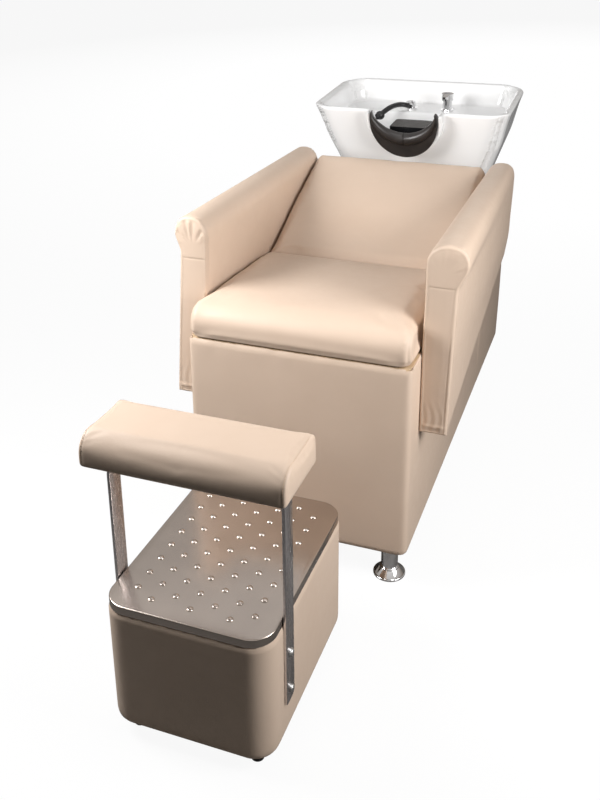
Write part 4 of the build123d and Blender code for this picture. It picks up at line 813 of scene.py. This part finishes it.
def legs():
    """Chromed legs with turned flanges, all round."""
    plate = [(0.0365, 0.0365, 0.0, 0.0055), (0.0345, 0.0225, 0.0048, 0.0185), (0.0225, 0.0215, 0.0180, 0.0215)]
    tubes, flanges = [], []
    for x, y in LEG_PLACES:
        centre = place(x, y, 0)
        tubes.append(round_bar("tube", [(0.019, 0.019, 0.010, 0.080)], centre, sides=56, edge=0.0008))
        flanges.append(round_bar("flange", plate, centre, sides=56, edge=0.0016))
    tubes = joined("leg_tubes_turned", tubes)
    flanges = joined("leg_flanges_turned", flanges)
    for obj in (tubes, flanges):
        shade(obj, radians(35))
    finish_piece(tubes, CHROME, "chair", "chrome", "leg_tubes")
    finish_piece(flanges, CHROME, "chair", "chrome", "leg_flanges")


def base_cover():
    """Leather over the chair's base and cabinet, in one wrapped form, open where boards and cushions cover it."""
    outline = [(0, BASE_LOW), (BASE_LENGTH, BASE_LOW), (BASE_LENGTH, CABINET), (WEDGE[1][0] + 0.004, CABINET),
               (WEDGE[1][0] + 0.004, WEDGE[1][1]), WEDGE[1], WEDGE[0], (0, DECK)]
    bpy.ops.object.select_all(action="DESELECT")
    bpy.ops.mesh.primitive_circle_add(vertices=len(outline), radius=1, fill_type="NGON")
    obj = settle(bpy.context.object, "base_leather")
    set_points(obj, np.array([place(-BASE_HALF, y, z) for y, z in outline]))
    bpy.ops.object.mode_set(mode="EDIT")
    bpy.ops.mesh.select_all(action="SELECT")
    bpy.ops.mesh.extrude_region_move(TRANSFORM_OT_translate={"value": (2 * BASE_HALF, 0, 0)})
    bpy.ops.object.mode_set(mode="OBJECT")
    face_outward(obj)
    front, rear = -MIDDLE, BASE_LENGTH - MIDDLE
    bevel_edges(obj, lambda a, b: upright(a, b) and max(a.y, b.y) < front + 1e-4, CORNER, 6)
    bevel_edges(obj, lambda a, b: upright(a, b) and min(a.y, b.y) > rear - 1e-4, 0.006, 3)
    bevel_edges(obj, lambda a, b: max(a.z, b.z) < BASE_LOW + 1e-4, 0.011, 3)
    remesh(obj, 0.0075)
    smooth(obj, 0.5, 3)
    co = points(obj)
    n = normals(obj)
    x, y, z = co[:, 0], co[:, 1] + MIDDLE, co[:, 2]
    facing = np.clip(-n[:, 1], 0, 1) * (y < 0.03)
    near = np.exp(-np.clip(DECK - z, 0, 1) / 0.022)
    wave = np.sin(x * 71 + 1.3 * np.sin(x * 23)) + 0.6 * np.sin(x * 139 + 2) + 0.4 * np.sin(x * 260 + 1)
    co[:, 1] += facing * near * 0.0011 * wave
    full = np.sin(pi * np.clip((z - BASE_LOW) / (DECK - BASE_LOW), 0, 1))
    co[:, 1] -= facing * 0.0022 * full * (1 - (x / 0.27) ** 2)
    co[:, 1] += facing * 0.0028 * step(z, DECK - 0.012, DECK)
    co[:, 2] += facing * near * 0.0009 * wave
    sides = np.clip(abs(n[:, 0]), 0, 1) * (abs(n[:, 0]) > 0.8)
    co[:, 0] = np.clip(co[:, 0], -BASE_HALF, BASE_HALF)
    free = (y > ARM_REAR + 0.03) * sides
    co[:, 0] += np.sign(n[:, 0]) * free * 0.0035 * np.sin(pi * np.clip((z - BASE_LOW) / (CABINET - BASE_LOW), 0, 1))
    set_points(obj, co)
    drop_faces(obj, lambda c, n: (n.z > 0.55 and c.z > DECK - 0.004) or n.z < -0.80)
    apply_modifier(obj, "SOLIDIFY", thickness=HIDE, offset=-1)
    shade(obj, radians(50))
    finish_piece(obj, LEATHER, "chair", "leather", "front_cover", "left_side_cover", "right_side_cover",
                 "rear_cover", "headboard_cover")


def arm_faces(side, share, z):
    """Where the inner and outer face of an arm lie, from front (share 0) to rear (share 1), as photographed."""
    if side > 0:
        inner = 0.2543 + 0.0022 * step(z, 0.56, 0.68)
        front = 0.316 + 0.009 * (z - 0.363) / 0.320 + 0.0195 * step(z, 0.683, 0.745)
        rear = 0.3125 + 0.0125 * step(z, 0.470, 0.605) + 0.0035 * step(z, 0.60, 0.74)
    else:
        inner = ARM_INNER - 0.019 * (1 - np.exp(-np.clip(z - 0.540, 0, 1) / 0.075))
        front = 0.327 - 0.024 * np.clip(z - 0.362, 0, 0.347) / 0.347 + 0.0135 * step(z, 0.700, 0.752)
        rear = front - 0.004
    return inner, front + (rear - front) * share ** 0.8


def arm_place(side, across, y, height):
    """Turns across (0 to 1) and height (0 to 1 below the roll's middle, to 2 at its top) into a place."""
    share = np.clip((y - ARM_FRONT) / (ARM_REAR - ARM_FRONT), 0, 1)
    low = ARM_LOW[0] + (ARM_LOW[1] - ARM_LOW[0]) * share
    crown = (0.041 if side > 0 else 0.046) - 0.006 * share
    z = np.where(height < 1, low + (ROLL_HEIGHT - low) * height, ROLL_HEIGHT + crown * (height - 1))
    inner, outer = arm_faces(side, share, np.minimum(z, ROLL_HEIGHT))
    t = np.clip(2 * across - 1, 0, 0.995)
    fuller = ((1 - t ** 2.5) ** 0.4 / np.sqrt(1 - t ** 2)).clip(1, 1.3)
    z = np.where(height > 1, ROLL_HEIGHT + (z - ROLL_HEIGHT) * np.minimum(fuller, 1.25), z)
    return np.stack([side * (inner + (outer - inner) * across), y - MIDDLE + 0 * z, z], axis=-1)


def arm_outline(side, y, count=60):
    """The arm's section at one place: up the inner face, over the roll, down the outer face."""
    up = np.linspace(0.0, 1.0, count)
    over = np.linspace(pi, 0, count)
    across = np.concatenate([0 * up, (1 + np.cos(over)) / 2, 0 * up + 1])
    height = np.concatenate([up, 1 + np.sin(over), up[::-1]])
    return arm_place(side, across, y + 0 * up.repeat(3), height)


def arm_block(name, side, front, rear, voxel, ends):
    """A bar with a half-round top, laid between two planes and drawn to the arm's section."""
    width = ARM_OUTER - ARM_INNER
    centre = ROLL_HEIGHT
    obj = slab(name, 0, width, front, rear, centre - 0.4, centre + width / 2)
    bevel_edges(obj, lambda a, b: abs(a.y - b.y) > 0.001 and min(a.z, b.z) > centre, width * 0.4999, 14)
    low = centre - 0.4
    if ends:
        bevel_edges(obj, lambda a, b: abs(a.y - b.y) > 0.001 and max(a.z, b.z) < low + 1e-4, 0.007, 3)
        bevel_edges(obj, lambda a, b: min(a.y, b.y) > rear - MIDDLE - 1e-4, 0.009, 3)
    remesh(obj, voxel)
    smooth(obj, 0.5, 2)
    co = points(obj)
    height = np.where(co[:, 2] < centre, (co[:, 2] - low) / 0.4, 1 + (co[:, 2] - centre) / (width / 2))
    set_points(obj, arm_place(side, co[:, 0] / width, co[:, 1] + MIDDLE, np.clip(height, 0, 2)))
    if side < 0:
        face_outward(obj)
    return obj


def edge_distance(co, line):
    """How far each point lies, in the front plane, from an outline."""
    flat = co[:, [0, 2]]
    out = np.full(len(co), 1.0)
    for a, b in zip(line[:-1, [0, 2]], line[1:, [0, 2]]):
        way = b - a
        t = np.clip(((flat - a) @ way) / max(way @ way, 1e-12), 0, 1)
        out = np.minimum(out, np.linalg.norm(flat - a - t[:, None] * way, axis=1))
    return out


def arm(side):
    """One arm: the padded roll and side, and its sewn front."""
    name = "left" if side > 0 else "right"
    pad = arm_block(name + "_arm_upholstery", side, ARM_FRONT + FACING_DEPTH, ARM_REAR, 0.0058, True)
    co = points(pad)
    n = normals(pad)
    y, z = co[:, 1] + MIDDLE, co[:, 2]
    outside = np.clip(side * n[:, 0], 0, 1)
    full = np.sin(pi * np.clip((y - ARM_FRONT) / (ARM_REAR - ARM_FRONT), 0, 1))
    full = full * step(z, 0.38, 0.5) * step(0.74 - z, 0, 0.1)
    co[:, 0] += side * outside * 0.0018 * full
    drawn = ridge(y - ARM_FRONT - FACING_DEPTH, 0.030) * step(z, 0.69, 0.74)
    co += n * (0.0007 * drawn * np.cos(np.arctan2(z - 0.735, side * co[:, 0] - 0.29) * 14))[:, None]
    set_points(pad, co)
    shade(pad)
    facing = arm_block(name + "_arm_front", side, ARM_FRONT, ARM_FRONT + FACING_DEPTH, 0.0020, False)
    line = arm_outline(side, ARM_FRONT)
    line = np.vstack([line, line[:1]])
    co = points(facing)
    u, y, z = side * co[:, 0], co[:, 1] + MIDDLE, co[:, 2]
    edge = edge_distance(co, line)
    front = step(ARM_FRONT + 0.0065 - y, 0, 0.004)
    welt = 0.007
    move = welt - np.sqrt(np.clip(welt ** 2 - np.clip(welt - edge, 0, welt) ** 2, 0, 1))
    move += 0.0011 * ridge(edge - welt - 0.0008, 0.0012) - 0.0010 * step(edge, welt, 0.026)
    inside = step(edge, welt - 0.001, welt + 0.003)
    move += inside * (0.0011 * ridge(z - ARM_SEAM, 0.0013) + 0.0007 * step(ARM_SEAM + 0.001 - z, 0, 0.002))
    centre = (0.290, 0.716) if side > 0 else (0.272, 0.712)
    turn = np.arctan2(z - centre[1], u - centre[0])
    r = np.hypot(z - centre[1], u - centre[0])
    strength = (0.0011 if side < 0 else 0.00035) * step(r, 0.012, 0.05) * step(z, 0.715, 0.74) * inside
    move += strength * (np.cos(turn * 15 + 0.8 * np.sin(turn * 4)) + 0.5 * np.cos(turn * 27 + 1))
    low = step(0.45 - z, 0, 0.07) * inside
    move += 0.0006 * low * np.sin(u * 380 + 9 * z + 2 * np.sin(z * 60))
    move -= 0.0015 * ridge(z - 0.372, 0.004) * inside
    co[:, 1] += front * move
    set_points(facing, co)
    shade(facing)
    finish_piece(pad, LEATHER, "chair", "leather", name + "_arm_pad")
    finish_piece(facing, LEATHER, "chair", "leather", name + "_arm_facing")


def keep_between_arms(co, room=0.0012):
    """Holds cushion points clear of the arms' inner faces, the leaning one too."""
    behind = co[:, 1] + MIDDLE > ARM_FRONT - 0.006
    left = np.where(behind, ARM_INNER - room, 0.262)
    right = np.where(behind, arm_faces(-1, 0.0, co[:, 2])[0] - room, 0.262)
    co[:, 0] = np.where(co[:, 0] > 0.2, np.minimum(co[:, 0], left), co[:, 0])
    co[:, 0] = np.where(co[:, 0] < -0.2, np.maximum(co[:, 0], -right), co[:, 0])
    return co


def seat():
    """The seat pad, with boxed ends whose seams run over the nose."""
    obj = copy_of("seat_pad", "seat_cushion")
    remesh(obj, 0.0062)
    smooth(obj, 0.5, 3)
    puff(obj, 0.001, 0.0070, 4.0, lambda co: (co[:, 2] < 0.5425) | (co[:, 1] > 0.447 - MIDDLE))
    smooth(obj, 0.5, 7)
    apply_modifier(obj, "SUBSURF", levels=1, render_levels=1)
    co = points(obj)
    n = normals(obj)
    nose = step(0.10 - co[:, 1] - MIDDLE, 0, 0.05)
    spread = step(abs(co[:, 0]), 0.17, 0.25) * nose * step(co[:, 2], 0.540, 0.556)
    co[:, 0] += np.sign(co[:, 0]) * 0.0055 * spread
    co[:, 2] += 0.003 * spread * step(co[:, 2], 0.57, 0.60)
    for x in (-SEAT_SEAM, SEAT_SEAM):
        groove = ridge(co[:, 0] - x, 0.0022) * (n[:, 1] < 0.3) * (co[:, 2] > 0.545)
        co -= n * (0.0012 * groove * nose)[:, None]
    hem = ridge(co[:, 2] - 0.547, 0.006) * np.clip(-n[:, 1], 0, 1)
    co[:, 1] += 0.0022 * hem
    co[:, 2] = np.where(co[:, 2] < SEAT_FLOOR, SEAT_FLOOR, co[:, 2])
    set_points(obj, keep_between_arms(co))
    shade(obj)
    finish_piece(obj, LEATHER, "chair", "leather", "seat_cushion")


def backrest():
    """The back pad between the arms, fuller than its frame and squarer along the top edge."""
    obj = copy_of("back_pad", "back_cushion")
    remesh(obj, 0.0065)
    smooth(obj, 0.5, 2)
    slope = (WEDGE[1][1] - WEDGE[0][1]) / (WEDGE[1][0] - WEDGE[0][0])
    puff(obj, 0.001, 0.0055, 4.0, lambda co: (co[:, 2] - DECK - slope * (co[:, 1] + MIDDLE - 0.505) < 0.012)
         | (co[:, 2] < 0.56))
    smooth(obj, 0.5, 2)
    apply_modifier(obj, "SUBSURF", levels=1, render_levels=1)
    co = points(obj)
    over = co[:, 2] - DECK - slope * (co[:, 1] + MIDDLE - 0.505)
    along = (co[:, 1] + MIDDLE - 0.45) / 0.4166
    co[:, 2] += 0.011 * step(over, 0.015, 0.055) * step(along, 0.02, 0.5)
    co[:, 1] -= 0.004 * step(over, 0.02, 0.055) * step(along, 0.80, 0.95)
    shift = ARM_INNER - arm_faces(-1, 0.0, co[:, 2])[0]
    co[:, 0] = np.where(co[:, 0] < 0, co[:, 0] * (1 - shift / 0.25), co[:, 0])
    wide = 1 + 0.016 * step(abs(co[:, 0]), 0.15, 0.24)
    co[:, 0] *= wide
    set_points(obj, keep_between_arms(co))
    shade(obj)
    finish_piece(obj, LEATHER, "chair", "leather", "back_cushion")


# Basin

def to_basin(co):
    """The basin's own measures of points in the model's frame."""
    y = co[:, 1] + MIDDLE - RIM[0]
    z = co[:, 2] - RIM[1]
    return np.stack([co[:, 0], y * cos(TILT) + z * sin(TILT), z * cos(TILT) - y * sin(TILT)], axis=1)


def from_basin(co):
    """The other way round."""
    y = RIM[0] - MIDDLE + co[:, 1] * cos(TILT) - co[:, 2] * sin(TILT)
    return np.stack([co[:, 0], y, RIM[1] + co[:, 1] * sin(TILT) + co[:, 2] * cos(TILT)], axis=1)


def rounder_corner(x, y, cx, cy, radius, sx, sy):
    """Draws one corner of a plan in to an arc: points beyond the arc's centre keep their direction from it."""
    u, v = (x - cx) * sx, (y - cy) * sy
    inside = (u > 0) & (v > 0)
    far = np.maximum(np.hypot(u, v), 1e-9)
    edge = radius / np.maximum(np.maximum(u, v) / far, 1e-9)
    scale = np.where(inside, radius / edge, 1.0)
    share = np.where(inside, np.clip(far / edge, 0, 1) ** 3, 0)
    scale = 1 + (scale - 1) * share
    return np.where(inside, cx + sx * u * scale, x), np.where(inside, cy + sy * v * scale, y)


def bowl():
    """The glazed bowl, its body fuller and its edges softened as slip casting leaves them."""
    obj = copy_of("basin_glazed", "basin_bowl")
    remesh(obj, 0.0040)
    smooth(obj, 0.5, 8)
    co = to_basin(points(obj))
    x, y, z = co[:, 0], co[:, 1], co[:, 2]
    depth = np.clip(-z, 0, 0.235)
    half, front, rear = 0.293 - 0.36 * depth, -0.195 + 0.36 * depth, 0.195 - 0.20 * depth
    for sx in (-1, 1):
        x, y = rounder_corner(x, y, sx * (half - FRONT_CORNER), front + FRONT_CORNER, FRONT_CORNER, sx, -1)
        x, y = rounder_corner(x, y, sx * (half - REAR_CORNER), rear - REAR_CORNER, REAR_CORNER, sx, 1)
    x = x + np.sign(x) * 0.009 * step(abs(x), 0.13, 0.22) * step(depth, 0.015, 0.12)
    set_points(obj, from_basin(np.stack([x, y, z], axis=1)))
    smooth(obj, 0.5, 12)
    shade(obj)
    finish_piece(obj, CERAMIC, "basin", "glazed_ceramic", "basin_bowl")


def swept(name, rows, columns, surface):
    """A skin from a flat grid. surface(u, v) gives its places and makes them meet in v; the ends of u are drawn in."""
    bpy.ops.object.select_all(action="DESELECT")
    bpy.ops.mesh.primitive_grid_add(x_subdivisions=rows, y_subdivisions=columns, size=2)
    obj = settle(bpy.context.object, name)
    co = points(obj)
    set_points(obj, surface((co[:, 0] + 1) / 2, (co[:, 1] + 1) / 2))
    only(obj)
    bpy.ops.object.mode_set(mode="EDIT")
    bpy.ops.mesh.select_all(action="SELECT")
    bpy.ops.mesh.remove_doubles(threshold=0.00002)
    bpy.ops.object.mode_set(mode="OBJECT")
    face_outward(obj)
    return obj


def collar_place(x, y, z):
    """A place from the leaning collar's measures: y into the basin, z up from its arc's centre."""
    lean = LEAN - TILT
    z = z - COLLAR_RISE
    flat = np.stack([x, y * cos(lean) - z * sin(lean) + COLLAR_FRONT, y * sin(lean) + z * cos(lean)], axis=-1)
    return from_basin(flat)


def neck_surface(u, v):
    """The neck rest's skin: a lip over the collar's face, a full roll above it and a back that falls away."""
    turn = (2 * u - 1) * radians(111)
    side, down = np.sin(turn), np.cos(turn)
    lip = 1 / np.sqrt((side / 0.0985) ** 2 + (down / 0.110) ** 2)
    crease = np.minimum(-0.029 * down + np.sqrt(0.098 ** 2 - (0.029 * side) ** 2), lip - 0.0015)
    inner = np.minimum(-0.066 * down + np.sqrt(0.100 ** 2 - (0.066 * side) ** 2), crease - 0.003)
    notch = np.where(down > 0, 0.0972, 0.0972 / np.maximum(abs(side), 0.9))
    notch = np.minimum(notch, lip - 0.0008)
    radius = (crease - inner) / 2
    middle = (crease + inner) / 2
    face = -0.0065
    heart = face - 0.62 * radius + radius
    back = np.minimum(inner + 0.034, notch - 0.002)
    rear = 0.010 + 0.040 * np.clip((notch - inner) / 0.04, 0, 1)
    marks = np.array([0.0, 0.05, 0.09, 0.24, 0.62, 0.72, 0.80, 0.92, 1.0])
    t = np.clip((v - marks[3]) / (marks[4] - marks[3]), 0, 1) * radians(215) + radians(12)
    roll = np.stack([middle + radius * np.cos(t), heart - radius * np.sin(t)])
    last = radians(227)
    end = np.stack([middle + radius * cos(last), heart - radius * sin(last)])
    corners = [np.stack([lip - 0.001, 0 * lip - 0.0012]), np.stack([lip, 0 * lip - 0.0042]),
               np.stack([lip - 0.0025, 0 * lip + face + 0.0006]),
               np.stack([middle + radius * cos(radians(12)), heart - radius * sin(radians(12))]), end,
               np.stack([back, rear]), np.stack([notch, rear]), np.stack([notch, 0 * lip]),
               np.stack([lip - 0.001, 0 * lip - 0.0012])]
    out = roll * ((v >= marks[3]) & (v < marks[4]))
    for k in range(8):
        if k == 3:
            continue
        share = (v - marks[k]) / (marks[k + 1] - marks[k])
        here = (v >= marks[k]) & ((v < marks[k + 1]) | ((k == 7) & (v >= 0.999999)))
        out = out + (corners[k] + (corners[k + 1] - corners[k]) * share) * here
    r, w = out
    bend = (v > marks[3]) & (v < marks[4])
    lean = radians(1.6) * (1 - 2 * np.clip((v - marks[3]) / (marks[4] - marks[3]), 0, 1))
    crimp = 0.0042 * ridge(turn - lean, radians(1.8)) * bend * np.sin(np.clip((t - 0.5) / 2.9, 0, 1) * pi) ** 0.5
    r = r - crimp * np.cos(t) * bend
    w = w + crimp * np.sin(t) * bend
    tip = np.sqrt(np.clip(1 - ((abs(turn) - radians(106)) / radians(5)).clip(0, 1) ** 2, 0, 1))
    r = middle + (r - middle) * tip
    w = heart + (w - heart) * tip
    return collar_place(r * side, w, -r * down)


def neck_rest():
    """The moulded neck rest."""
    obj = swept("neck_rest_moulded", 150, 110, neck_surface)
    smooth(obj, 0.5, 2)
    shade(obj)
    finish_piece(obj, NECK_RUBBER, "neck_rest", "rubber", "neck_cushion")


def hand_shower():
    """The hand shower's bowed grip, and its ball-shaped head with a nozzle."""
    start, end = np.array(place(*GRIP_START)), np.array(place(*GRIP_END))
    share = np.linspace(0, 1, 28)[:, None]
    arch = 4 * share * (1 - share) * np.array([[0, 0, GRIP_ARCH]])
    grip = tube("shower_grip", [start + (end - start) * share + arch], GRIP_RADIUS, 6)
    finish_piece(grip, BLACK_PLASTIC, "hand_shower", "black_plastic", "shower_handle")
    bpy.ops.object.select_all(action="DESELECT")
    bpy.ops.mesh.primitive_uv_sphere_add(segments=48, ring_count=28, radius=BALL_RADIUS, location=end,
                                         scale=(1, 1, 0.95))
    ball = settle(bpy.context.object, "ball")
    nozzle = round_bar("nozzle", [(0.0100, 0.0092, 0.0110, 0.0150), (0.0060, 0.0052, 0.0148, 0.0162)], end,
                       (radians(100), 0, radians(-25)), 40, 0.0008)
    head = joined("shower_head_round", [ball, nozzle])
    shade(head, radians(40))
    finish_piece(head, BLACK_PLASTIC, "hand_shower", "black_plastic", "shower_head")


set_camera()
set_studio()
dress_cad()
foot_cover()
step_plate()
strap()
bracket_bolts()
calf_rest()
legs()
base_cover()
seat()
backrest()
arm(-1)
arm(1)
bowl()
neck_rest()
hand_shower()
